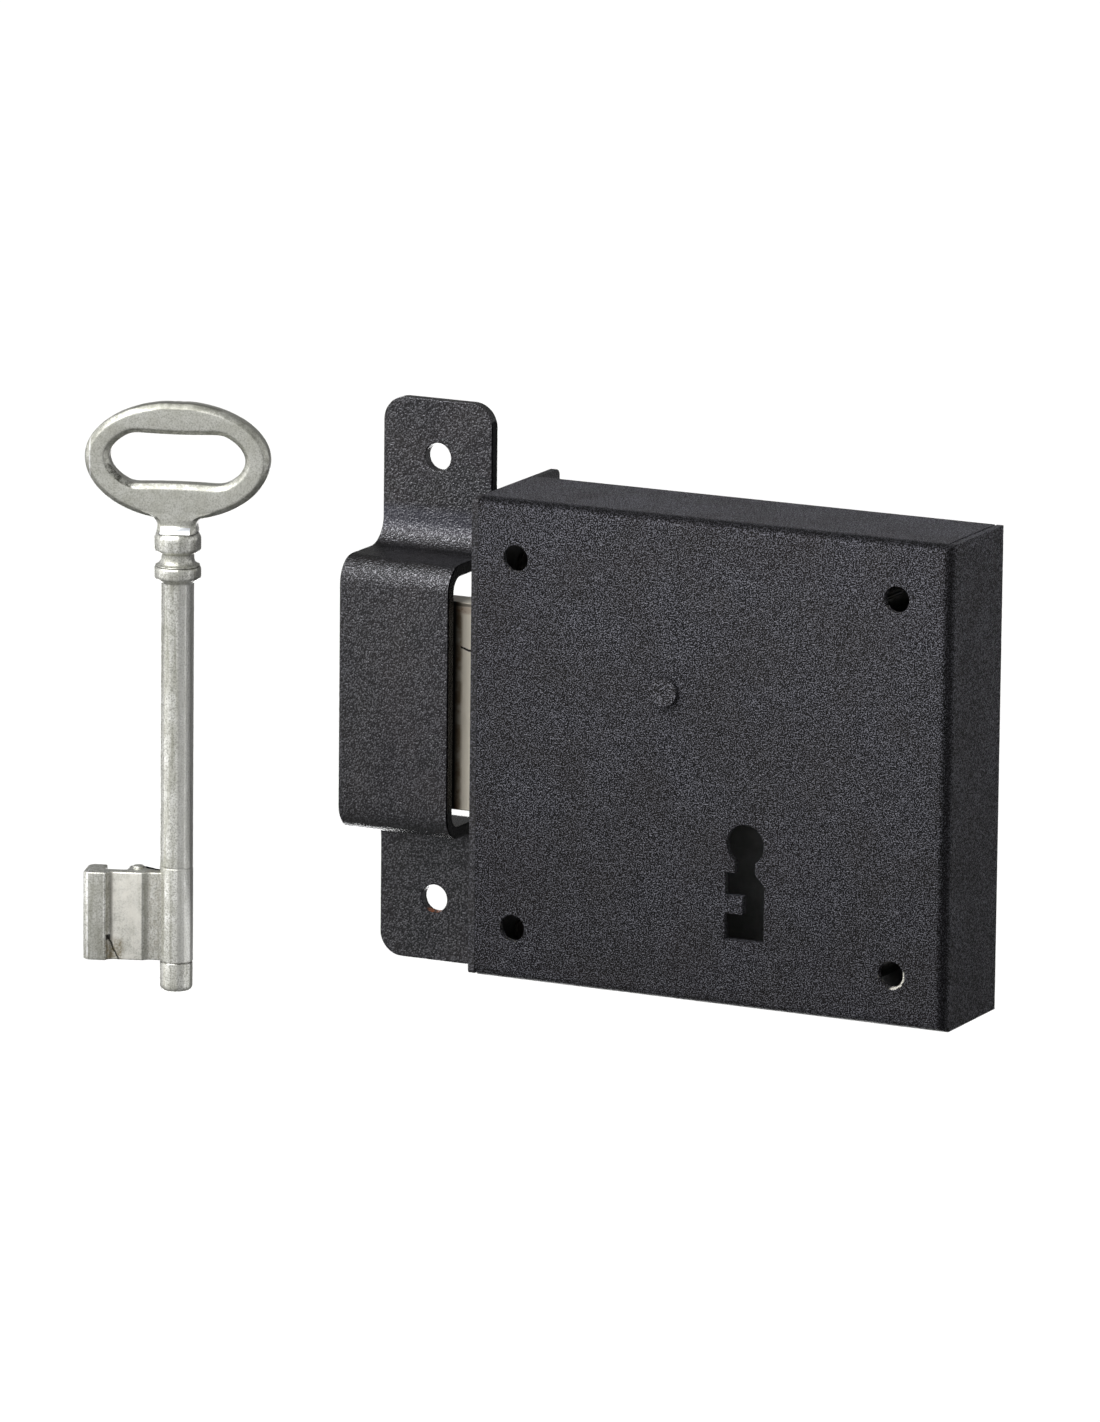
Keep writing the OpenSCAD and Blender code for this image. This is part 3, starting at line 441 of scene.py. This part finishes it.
# painted sheen: the bend under the upper ear is painted lighter
worn_bend = region(tree, place, Y=(-5.2, -1.0, 1.0), Z=(38.4, 41.0, 2.0))
_, bore = from_axis(tree, mm, *lower_hole)
patch = add(tree, "TexNoise", {"Vector": mm, "Scale": 1 / rust_patch_mm, "Detail": 3.0})
ragged = add(tree, "MapRange", {"Value": patch.outputs[0], "From Min": 0.4, "From Max": 0.55,
                                "To Min": 0.2}).outputs[0]
rusted = both(tree, within(tree, bore, 2.0, 2.93, 0.05), ragged,
              region(tree, place, Z=(-44.0, -42.6, 0.4)))
marked(tree, surface.inputs["Base Color"], [(worn_bend, "#2e2e36"), (thin, "#020203"),
                                            (rusted, "#a05c36")])
finished("keeper", "lock_case", keeper_coat, edge_mm=0.25)

# Key. One zinc die casting, satin nickel plated: an oval bow with bevelled edges and a pinched
# opening, a short neck, two collars, a round shank with faint flats, and a grooved bit.

# the middle of the tip's end, how far the key is turned, and the bow's middle above the tip
key_place = np.array([-105.0, -53.3, -52.5])
key_turn = math.radians(18)
bow_height = 110.7


def grid_faces(rows, columns, wrap_rows=False):
    """Quads between the points of a grid whose columns run round, numbered row by row."""
    r = np.arange(rows if wrap_rows else rows - 1)[:, None]
    c = np.arange(columns)[None, :]
    nxt_r, nxt_c = (r + 1) % rows, (c + 1) % columns
    quads = np.stack(np.broadcast_arrays(r * columns + c, r * columns + nxt_c,
                                         nxt_r * columns + nxt_c, nxt_r * columns + c), -1)
    return quads.reshape(-1, 4)


def arcs(points, radius, steps=4):
    """A closed outline with each corner rounded: a quadratic curve from a point on one side of
    the corner to one on the other side, both the radius away, or 0.45 of the side if less."""
    points = np.asarray(points, float)
    radius = np.broadcast_to(np.asarray(radius, float), len(points))
    back, on = np.roll(points, 1, 0) - points, np.roll(points, -1, 0) - points
    span_back, span_on = np.linalg.norm(back, axis=1), np.linalg.norm(on, axis=1)
    a = points + back / span_back[:, None] * np.minimum(radius, 0.45 * span_back)[:, None]
    b = points + on / span_on[:, None] * np.minimum(radius, 0.45 * span_on)[:, None]
    t = np.linspace(0, 1, steps)[None, :, None]
    curve = (1 - t) ** 2 * a[:, None] + 2 * t * (1 - t) * points[:, None] + t ** 2 * b[:, None]
    return curve.reshape(-1, 2)


def outward(loop):
    """Unit normals of a closed outline that runs anticlockwise, from the chord of the
    neighbours on both sides."""
    chord = np.roll(loop, -1, 0) - np.roll(loop, 1, 0)
    chord /= np.linalg.norm(chord, axis=1)[:, None]
    return np.stack([chord[:, 1], -chord[:, 0]], 1)


def revolved(profile, turn_steps, flats, flat_share):
    """Radius r(z) of the profile turned round Z; each radius is drawn in by a share of the
    difference between a circle and a polygon of so many flats. The ends close on the axis."""
    r, z = profile[:, 0], profile[:, 1]
    phi = np.linspace(0, 2 * np.pi, turn_steps, endpoint=False)
    step = 2 * np.pi / flats
    polygon = np.cos(step / 2) / np.cos((phi % step) - step / 2)
    scale = 1 - flat_share * (1 - polygon)
    ring = np.stack([np.cos(phi) * scale, np.sin(phi) * scale], 1)
    body = np.concatenate([r[:, None, None] * ring[None],
                           np.broadcast_to(z[:, None, None], (len(r), turn_steps, 1))], 2)
    verts = body.reshape(-1, 3)
    ends = [[0, 0, z[0]], [0, 0, z[-1]]]
    faces = grid_faces(len(r), turn_steps)
    c = np.arange(turn_steps)
    low = np.stack([np.full(turn_steps, len(verts)), (c + 1) % turn_steps, c], 1)
    top = (len(r) - 1) * turn_steps
    high = np.stack([np.full(turn_steps, len(verts) + 1), top + c, top + (c + 1) % turn_steps], 1)
    return np.vstack([verts, ends]), [faces, low, high]


def lofted(rings):
    """Closed rings of points, one above the other, joined by quads and capped at both ends by
    one flat face each."""
    count, around = rings.shape[:2]
    verts = rings.reshape(-1, 3)
    faces = grid_faces(count, around)
    top = (count - 1) * around + np.arange(around)
    return verts, [faces, np.arange(around)[None, ::-1], top[None]]


# Bow: an ellipse 38 by 24 with the casting gate's flat on top, and an opening: the soft minimum of
# an oval and of a band whose long sides are pinched towards the middle. A section of six rounded
# corners runs round between the two outlines.
half_wide, above, below, gate_flat, gate_ripple = 19.0, 11.6, 12.6, 11.47, 0.03
oval_x, oval_z, pinched_z, pinch_rise, pinch_rate = 14.0, 6.9, 5.0, 0.5, 2.2 / 28
around, blend_rate, open_end = 288, 3.0, 40
t = np.linspace(0, 2 * np.pi, around, endpoint=False)
outer = np.stack([half_wide * np.cos(t), np.where(np.sin(t) > 0, above, below) * np.sin(t)], 1)
outer[:, 1] = np.minimum(outer[:, 1], gate_flat + gate_ripple * np.cos(3 * outer[:, 0]))
theta = np.arctan2(outer[:, 1], outer[:, 0])
oval_r = 1 / np.sqrt((np.cos(theta) / oval_x) ** 2 + (np.sin(theta) / oval_z) ** 2)
radii = np.linspace(0.5, 16, 400)
band = np.abs(np.sin(theta))[:, None] * radii <= pinched_z + pinch_rise * (
    pinch_rate * np.cos(theta)[:, None] * radii) ** 2
pinch_r = np.where(band.all(1), open_end, radii[np.argmin(band, 1) - 1])
hole_r = -np.log(np.exp(-blend_rate * oval_r) + np.exp(-blend_rate * pinch_r)) / blend_rate
# smoothed round the opening by a bell curve over six points on both sides
wing, spread = 6, 2.0
kernel = np.exp(-0.5 * (np.arange(-wing, wing + 1) / spread) ** 2)
padded = np.concatenate([hole_r[-wing:], hole_r, hole_r[:wing]])
hole_r = np.convolve(padded, kernel / kernel.sum(), "valid")
inner = hole_r[:, None] * np.stack([np.cos(theta), np.sin(theta)], 1)
# the section's half: distance in from the outline, and depth, from the edge to the flat face
half, bevel, bevel_y = 2.3, 1.1, 0.95
side = np.array([[0, 0.0], [0, -half + bevel_y + 0.25], [0.03, -half + bevel_y + 0.08],
                 [0.16, -half + bevel_y - 0.08], [bevel - 0.25, -half + 0.19],
                 [bevel - 0.03, -half + 0.04], [bevel + 0.3, -half]])
from_outer = outer[:, None] - outward(outer)[:, None] * side[None, :, :1]
from_inner = inner[:, None] + outward(inner)[:, None] * side[None, ::-1, :1]
depth = np.concatenate([side[:, 1], side[::-1, 1]])
front = np.concatenate([from_outer, from_inner], 1)
front = np.concatenate([front, np.broadcast_to(depth[None, :, None], front.shape[:2] + (1,))], 2)
back = front[:, ::-1] * [1, 1, -1]
section = np.concatenate([front, back[:, 1:-1]], 1)
bow = np.stack([section[..., 0], section[..., 2], section[..., 1] + bow_height], -1)
bow_verts = bow.reshape(-1, 3)
bow_faces = [grid_faces(bow.shape[0], bow.shape[1], wrap_rows=True)]

# Neck: a chamfered bar that leaves the bow with fillets and swells into the upper collar, where
# a slanted flat faces the light on both sides.
level = np.array([95.3, 95.5, 95.62, 96.75, 96.9, 97.1, 97.4, 97.9, 98.4, 98.8, 99.2, 99.6,
                  100.4])
wide = np.array([4.0, 4.05, 4.02, 3.96, 3.94, 3.94, 4.0, 4.2, 4.6, 5.15, 6.1, 7.4, 9.4])
thick = np.array([3.7, 3.85, 3.8, 2.42, 2.31, 2.29, 2.29, 2.29, 2.29, 2.29, 2.29, 2.29, 2.2])
cut_x = np.array([1.0, 1.0, 1.0, 0.95, 0.95, 1.0, 1.1, 1.1, 1.1, 1.1, 1.1, 1.1, 1.1])
cut_y = np.array([1.4, 1.5, 1.45, 0.9, 0.8, 0.8, 0.8, 0.8, 0.8, 0.8, 0.8, 0.8, 0.8])
# the eight corners of a chamfered bar: side in x and y, and where the chamfer cuts x or y
corner = np.array([[1, -1, 0, 1], [1, 1, 0, -1], [1, 1, -1, 0], [-1, 1, 1, 0],
                   [-1, 1, 0, -1], [-1, -1, 0, 1], [-1, -1, 1, 0], [1, -1, -1, 0]], float)
neck_rings = np.stack([
    wide[:, None] * corner[None, :, 0] + cut_x[:, None] * corner[None, :, 2],
    thick[:, None] * corner[None, :, 1] + cut_y[:, None] * corner[None, :, 3],
    np.broadcast_to(level[:, None], (len(level), 8))], -1)
neck_verts, neck_faces = lofted(neck_rings)

# Shank: one half section from the rounded tip to the top of the upper collar.
profile = np.array([
    [2.2, 0.0], [2.6, 0.04], [2.95, 0.18], [3.2, 0.45], [3.34, 0.8], [3.4, 1.25], [3.4, 1.4],
    [3.4, 5.8], [3.39, 5.88], [3.3, 5.98], [3.3, 6.08], [3.44, 6.2], [3.46, 6.3], [3.46, 25.6],
    [3.44, 25.7], [3.34, 25.82], [3.34, 25.92], [3.41, 26.05], [3.42, 26.2], [3.4, 28.0],
    [3.4, 56.0], [3.4, 84.9], [3.43, 85.05], [3.55, 85.18], [4.45, 85.85], [4.68, 86.05],
    [4.8, 86.25], [4.85, 86.5], [4.85, 87.85], [4.8, 88.1], [4.62, 88.36], [4.5, 88.44],
    [4.5, 88.52], [4.6, 88.62], [4.55, 88.72], [4.2, 88.85], [3.9, 89.05], [3.65, 89.35],
    [3.5, 89.7], [3.42, 90.1], [3.4, 90.4], [3.4, 90.9], [3.44, 91.0], [3.56, 91.08],
    [4.45, 91.6], [4.68, 91.8], [4.8, 92.0], [4.85, 92.2], [4.85, 94.3], [4.8, 94.55],
    [4.45, 95.2], [4.3, 95.36], [4.2, 95.42], [4.2, 95.5], [3.6, 95.6], [3.0, 95.7]])
shank_verts, shank_faces = revolved(profile, turn_steps=112, flats=14, flat_share=0.6)

# Bit: the outline in plan, given by distance from the shank's axis and by side as in the case's
# keyhole, drawn up 18.4 mm with its ends broken; a stub of the casting's sprue stands on its top.
bit_foot = 6.3
plan = np.array([[0, -1.9], [6.4, -1.9], [6.6, -3.95], [10.3, -3.95], [10.3, 0], [14.9, 0],
                 [14.9, -3.95], [17.8, -3.95], [18.8, -2.95], [18.8, 2.95], [17.8, 3.95],
                 [14.0, 3.95], [13.7, 3.1], [12.9, 2.65], [6.6, 2.65], [5.45, 1.9], [0, 1.9]])
soft = np.array([0.3, 0.5, 0.4, 0.5, 0.5, 0.5, 0.5, 0.6, 0.6, 0.35, 0.35, 0.35, 0.5, 0.8, 0.35,
                 0.4, 0.3])
loop = arcs(plan, soft) * [-1, -1]
loop_n = outward(loop)
step = np.array([[0.35, 0.0], [0.16, 0.05], [0.05, 0.16], [0.0, 0.35],
                 [0.0, 18.05], [0.05, 18.24], [0.16, 18.35], [0.35, 18.4]])
bit_rings = np.concatenate([
    loop[None] - loop_n[None] * step[:, None, :1],
    np.broadcast_to(bit_foot + step[:, None, 1:], (len(step), len(loop), 1))], 2)
bit_verts, bit_faces = lofted(bit_rings)
stub = np.array([[1.2, 0.0], [1.2, 0.45], [1.12, 0.62], [0.9, 0.72]])
stub_place = [-8.2, 2.0, 24.5]
stub_verts, stub_faces = revolved(stub, turn_steps=28, flats=4, flat_share=0.0)
stub_verts = stub_verts + stub_place


def cast_piece(name, shells, body, material, node):
    """Closed shells, each a set of points and faces, turned and set down where the node is."""
    turn = np.array(Matrix.Rotation(key_turn, 3, "Z"))
    starts = np.cumsum([0] + [len(v) for v, _ in shells])
    verts = np.vstack([v for v, _ in shells]) @ turn.T + key_place
    faces = [(f + start).tolist() for (_, fs), start in zip(shells, starts) for f in fs]
    mesh = bpy.data.meshes.new(name)
    mesh.from_pydata((verts * 0.001).tolist(), [], [q for group in faces for q in group])
    mesh.validate()
    mesh.shade_smooth()
    mesh.set_sharp_from_angle(angle=math.radians(40))
    mesh.materials.append(material)
    piece = placed(name, mesh)
    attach(piece, body)
    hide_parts(node)


# Satin nickel on a zinc casting: pale, slightly green grey, a soft sheen broken by the casting's
# orange-peel skin, drawn a little coarse so that it shows, and by small pits with dirt in them.
skin_mm, cloud_mm, streak_mm, streak_stretch = 0.34, 3.5, 0.8, 0.06
patch_mm, skin_depth = 1.1, 0.00004
key_metal, tree, surface, mm = new_material("satin_nickel_casting", {"Metallic": 0.88})
at_key = add(tree, "Mapping", {"Vector": mm, "Location": -key_place}).outputs[0]
own = add(tree, "VectorRotate", {"Vector": at_key, "Angle": -key_turn},
          rotation_type="Z_AXIS").outputs[0]
skin = add(tree, "TexNoise", {"Vector": mm, "Scale": 1 / skin_mm, "Detail": 2.0,
                              "Roughness": 0.6})
cloud = add(tree, "TexNoise", {"Vector": mm, "Scale": 1 / cloud_mm, "Detail": 5.0,
                               "Roughness": 0.6})
streak = add(tree, "TexNoise", {"Vector": add(tree, "Mapping", {
    "Vector": own, "Scale": (1, 1, streak_stretch)}).outputs[0], "Scale": 1 / streak_mm,
    "Detail": 3.0})
tone = add(tree, "MapRange", {"Value": cloud.outputs[0], "From Min": 0.38, "From Max": 0.66})
colour = add(tree, "Mix", {0: tone.outputs[0], 6: linear("#f4f4ef"), 7: linear("#d0d0c7")},
             data_type="RGBA")
axes = add(tree, "SeparateXYZ", {"Vector": own})
drawn = add(tree, "MapRange", {"Value": streak.outputs[0], "From Min": 0.48, "From Max": 0.68,
                               "To Max": 0.6})
drawn = both(tree, drawn.outputs[0], within(tree, axes.outputs["Z"], -1.0, 94.0, 1.0))
lined = add(tree, "Mix", {0: drawn, 6: colour.outputs[2], 7: linear("#a7a698")},
            data_type="RGBA")
speck = add(tree, "MapRange", {"Value": skin.outputs[0], "From Min": 0.34, "From Max": 0.56,
                               "To Min": 0.65, "To Max": 0.0})
dirty = add(tree, "Mix", {0: speck.outputs[0], 6: lined.outputs[2], 7: linear("#7d7c70")},
            data_type="RGBA")
tree.links.new(dirty.outputs[2], surface.inputs["Base Color"])
ragged = add(tree, "TexNoise", {"Vector": mm, "Scale": 1 / patch_mm, "Detail": 5.0,
                                "Roughness": 0.75})
patchy = add(tree, "MapRange", {"Value": ragged.outputs[0], "From Min": 0.42, "From Max": 0.58,
                                "To Min": 0.15}).outputs[0]
clouded = add(tree, "MapRange", {"Value": cloud.outputs[0], "From Min": 0.36, "From Max": 0.6,
                                 "To Min": 1.0, "To Max": 0.35}).outputs[0]
front = add(tree, "Math", {0: axes.outputs["Y"], 1: -0.5}, operation="LESS_THAN").outputs[0]
# the crack in the bit's panel wanders about a slanted line
course = add(tree, "VectorMath", {0: own, 1: (0.909, 0, 0.415)}, operation="DOT_PRODUCT")
course = add(tree, "Math", {0: ragged.outputs[0], 1: 0.9, 2: course.outputs["Value"]},
             operation="MULTIPLY_ADD").outputs[0]
line = within(tree, course, -7.5, -7.22, 0.08)
bit_z, bow_z, bevel_face = (6.4, 24.5, 0.2), (96.8, 130.0, 0.5), (-2.22, -1.3, 0.05)
# Marks on the casting, with painted light and shade among them, each over those before it: where it
# lies in the key's own axes, what breaks it up, its tint and its greatest share.
marks = {
    "grey bow": (dict(Z=bow_z), [], "#b0b0a6", 0.5),
    # painted shade that damps the highlights on the bow's bevels
    "painted shade on the bow's bevel": (dict(Y=bevel_face, Z=bow_z), [patchy], "#77776d", 0.6),
    # painted light on the shank's right side
    "painted light on the shank's right side": (dict(X=(1.2, 4.0, 1.0), Z=(6.6, 85.0, 0.5)), [],
                                      "#fbfbf7", 0.45),
    "pale panel of the bit": (dict(X=(-13.0, -6.9, 0.3), Z=bit_z), [front, clouded],
                              "#fbf8ee", 0.9),
    # painted shade on the chamfer at the panel's edge
    "painted shade on the panel's edge": (dict(X=(-6.7, -5.7, 0.12), Z=bit_z), [front], "#7c7b70", 0.45),
    "lit flat over the collars": (dict(X=(-3.0, 2.9, 0.2), Z=(95.62, 96.7, 0.08)), [front],
                                  "#f4f8ff", 0.85),
    # painted shade that damps the highlight on the bow's top
    "painted shade on the gate": (dict(X=(-9.0, 12.0, 2.0), Z=(121.0, 124.0, 0.3)), [front], "#77776d", 0.6),
    # painted shade on the bit's rib
    "painted shade on the bit's rib": (dict(X=(-17.6, -14.6, 0.1), Z=bit_z), [front], "#8d8c81", 0.45),
    # dirt and painted shade in the step between rib and panel
    "dirt and painted shade in the step": (dict(X=(-13.95, -12.95, 0.35), Z=bit_z), [front], "#4a4538", 0.5),
    "dirt at the foot": (dict(X=(-13.6, -11.0, 0.8), Z=(6.4, 9.5, 2.0)), [front, patchy],
                         "#80714f", 0.8),
    # dark lines in the tip's ring and in the grooves over the collars
    "dark line in the tip's ring": (dict(Z=(5.9, 6.12, 0.05)), [patchy], "#3a382f", 0.8),
    "dark line over the lower collar": (dict(Z=(88.42, 88.56, 0.05)), [], "#45443c", 0.7),
    "dark line over the upper collar": (dict(Z=(95.38, 95.54, 0.05)), [], "#45443c", 0.7),
    "dirt on the web": (dict(X=(-5.6, -3.2, 0.4), Z=(6.0, 25.0, 0.5)), [patchy], "#9a917c", 0.35),
    "dirt in the bow": (dict(X=(-14.2, -9.5, 0.8), Y=(-2.22, -1.2, 0.06),
                             Z=(104.2, 109.0, 0.6)), [front, patchy], "#2f2e28", 0.8),
    "crack": (dict(Z=(6.3, 11.4, 0.3)), [front, line], "#1d1b15", 0.85),
    "pit at the crack's end": (dict(X=(-13.9, -13.3, 0.2), Z=(10.7, 11.5, 0.3)), [front],
                               "#15130f", 0.9),
    # painted highlight along the rib's ridge
    "painted highlight on the ridge": (dict(X=(-17.95, -17.68, 0.06)), [front, patchy], "#ffffff", 0.8)}
marked(tree, surface.inputs["Base Color"], [
    (both(tree, region(tree, axes, **bands), *breaks, most), tint)
    for bands, breaks, tint, most in marks.values()])
shine = add(tree, "MapRange", {"Value": cloud.outputs[0], "From Min": 0.35, "From Max": 0.65,
                               "To Min": 0.35, "To Max": 0.42})
tree.links.new(shine.outputs[0], surface.inputs["Roughness"])
relief = add(tree, "Bump", {"Height": skin.outputs[0], "Strength": 1.0, "Distance": skin_depth})
tree.links.new(relief.outputs[0], surface.inputs["Normal"])
cast_piece("key_casting", [(bow_verts, bow_faces), (neck_verts, neck_faces),
                           (shank_verts, shank_faces), (bit_verts, bit_faces),
                           (stub_verts, stub_faces)],
           "key", key_metal, "key")

# Floor, wall, light and camera: a pale floor well below and a lit pale wall far off, which the
# part doesn't mirror; a broad soft light from above in front, weak ones from the left and behind,
# a pale room in front, a card at the right, and the photograph's long lens.
floor_z, floor_half = -0.6, 60
floor_mesh = bpy.data.meshes.new("floor")
floor_mesh.from_pydata([(-floor_half, -floor_half, floor_z), (floor_half, -floor_half, floor_z),
                        (floor_half, floor_half, floor_z), (-floor_half, floor_half, floor_z)],
                       [], [(0, 1, 2, 3)])
pale, *_ = new_material("pale_paper_floor", {"Base Color": linear("#f7f7f6"), "Roughness": 0.9})
floor_mesh.materials.append(pale)
floor = placed("floor", floor_mesh)
floor.visible_glossy = False
floor.visible_diffuse = False

wall_radius, wall_height, wall_sides = 6, 8, 48
turn = np.linspace(0, 2 * np.pi, wall_sides, endpoint=False)
foot = np.stack([wall_radius * np.cos(turn), wall_radius * np.sin(turn),
                 np.full(wall_sides, floor_z)], 1)
wall_mesh = bpy.data.meshes.new("wall")
wall_mesh.from_pydata(np.vstack([foot, foot + [0, 0, wall_height]]).tolist(), [],
                      grid_faces(2, wall_sides).tolist())
lit, *_ = new_material("lit_paper_wall", {
    "Base Color": linear("#f7f7f6"), "Emission Color": linear("#ffffff"),
    "Emission Strength": 1.0})
wall_mesh.materials.append(lit)
wall = placed("wall", wall_mesh)
wall.visible_glossy = False
wall.visible_diffuse = False
wall.visible_shadow = False


def soft_sun(name, strength, spread, tilt, turned):
    """A sun lamp: the width of its disc, and how far it is tilted from straight down and turned
    about Z, all in degrees."""
    lamp = bpy.data.lights.new(name, "SUN")
    lamp.energy = strength
    lamp.angle = math.radians(spread)
    placed(name, lamp).rotation_euler = (math.radians(tilt), 0, math.radians(turned))


soft_sun("overhead_soft_light", 2.9, 50, 42, -22)
soft_sun("left_soft_light", 0.6, 50, 84, -61)
soft_sun("rear_soft_light", 1.7, 40, 112, -150)

world = bpy.data.worlds.new("studio")
bpy.context.scene.world = world
world.use_nodes = True
room = world.node_tree
background = room.nodes["Background"]
direction = add(room, "TexCoord").outputs["Generated"]


def glow(toward, low, high, dim, bright):
    """The room's light: from dim to bright as the cosine of the angle to a direction goes from
    low to high."""
    cosine = add(room, "VectorMath", {0: direction, 1: toward}, operation="DOT_PRODUCT")
    return add(room, "MapRange", {"Value": cosine.outputs["Value"], "From Min": low,
                                  "From Max": high, "To Min": dim, "To Max": bright},
               interpolation_type="SMOOTHSTEP").outputs[0]


front_glow = glow((-0.45, -0.86, 0.25), -0.2, 0.9, 0.2, 0.72)
card_glow = glow((0.966, 0.259, 0.0), 0.7, 0.97, 0.0, 0.85)
total = add(room, "Math", {0: front_glow, 1: card_glow}, operation="ADD")
room.links.new(total.outputs[0], background.inputs["Strength"])
background.inputs["Color"].default_value = linear("#ffffff")
# the plain view keeps the paper pure white, as the photograph's background is
bpy.context.scene.view_settings.view_transform = "Standard"

# The camera as fitted to the photograph: its focal length in the photo's pixels, its three angles
# in degrees, and the part's middle set off the frame's centre, seen from 2.44 m.
sensor_mm, focal_px, photo_height_px = 36, 12000, 1422
yaw, pitch, roll = np.radians((26.093, 12.168, 0.603))
middle, off_right, off_down, away = np.array([-16.5, -15.0, 0.5]), 20.353, 7.055, 2439.461
lens = bpy.data.cameras.new("camera")
lens.sensor_width = sensor_mm
lens.lens = sensor_mm * focal_px / photo_height_px
lens.clip_end = 100
right = np.array([math.cos(yaw), math.sin(yaw), 0])
ahead = np.array([-math.sin(yaw) * math.cos(pitch), math.cos(yaw) * math.cos(pitch),
                  -math.sin(pitch)])
over = np.cross(right, ahead)
across = math.cos(roll) * right + math.sin(roll) * over
upright = math.cos(roll) * over - math.sin(roll) * right
eye = middle - off_right * across + off_down * upright - away * ahead
camera = placed("camera", lens)
camera.matrix_world = Matrix([[*row, at * 0.001] for row, at in zip(
    np.stack([across, upright, -ahead], 1), eye)] + [[0, 0, 0, 1]])
bpy.context.scene.camera = camera
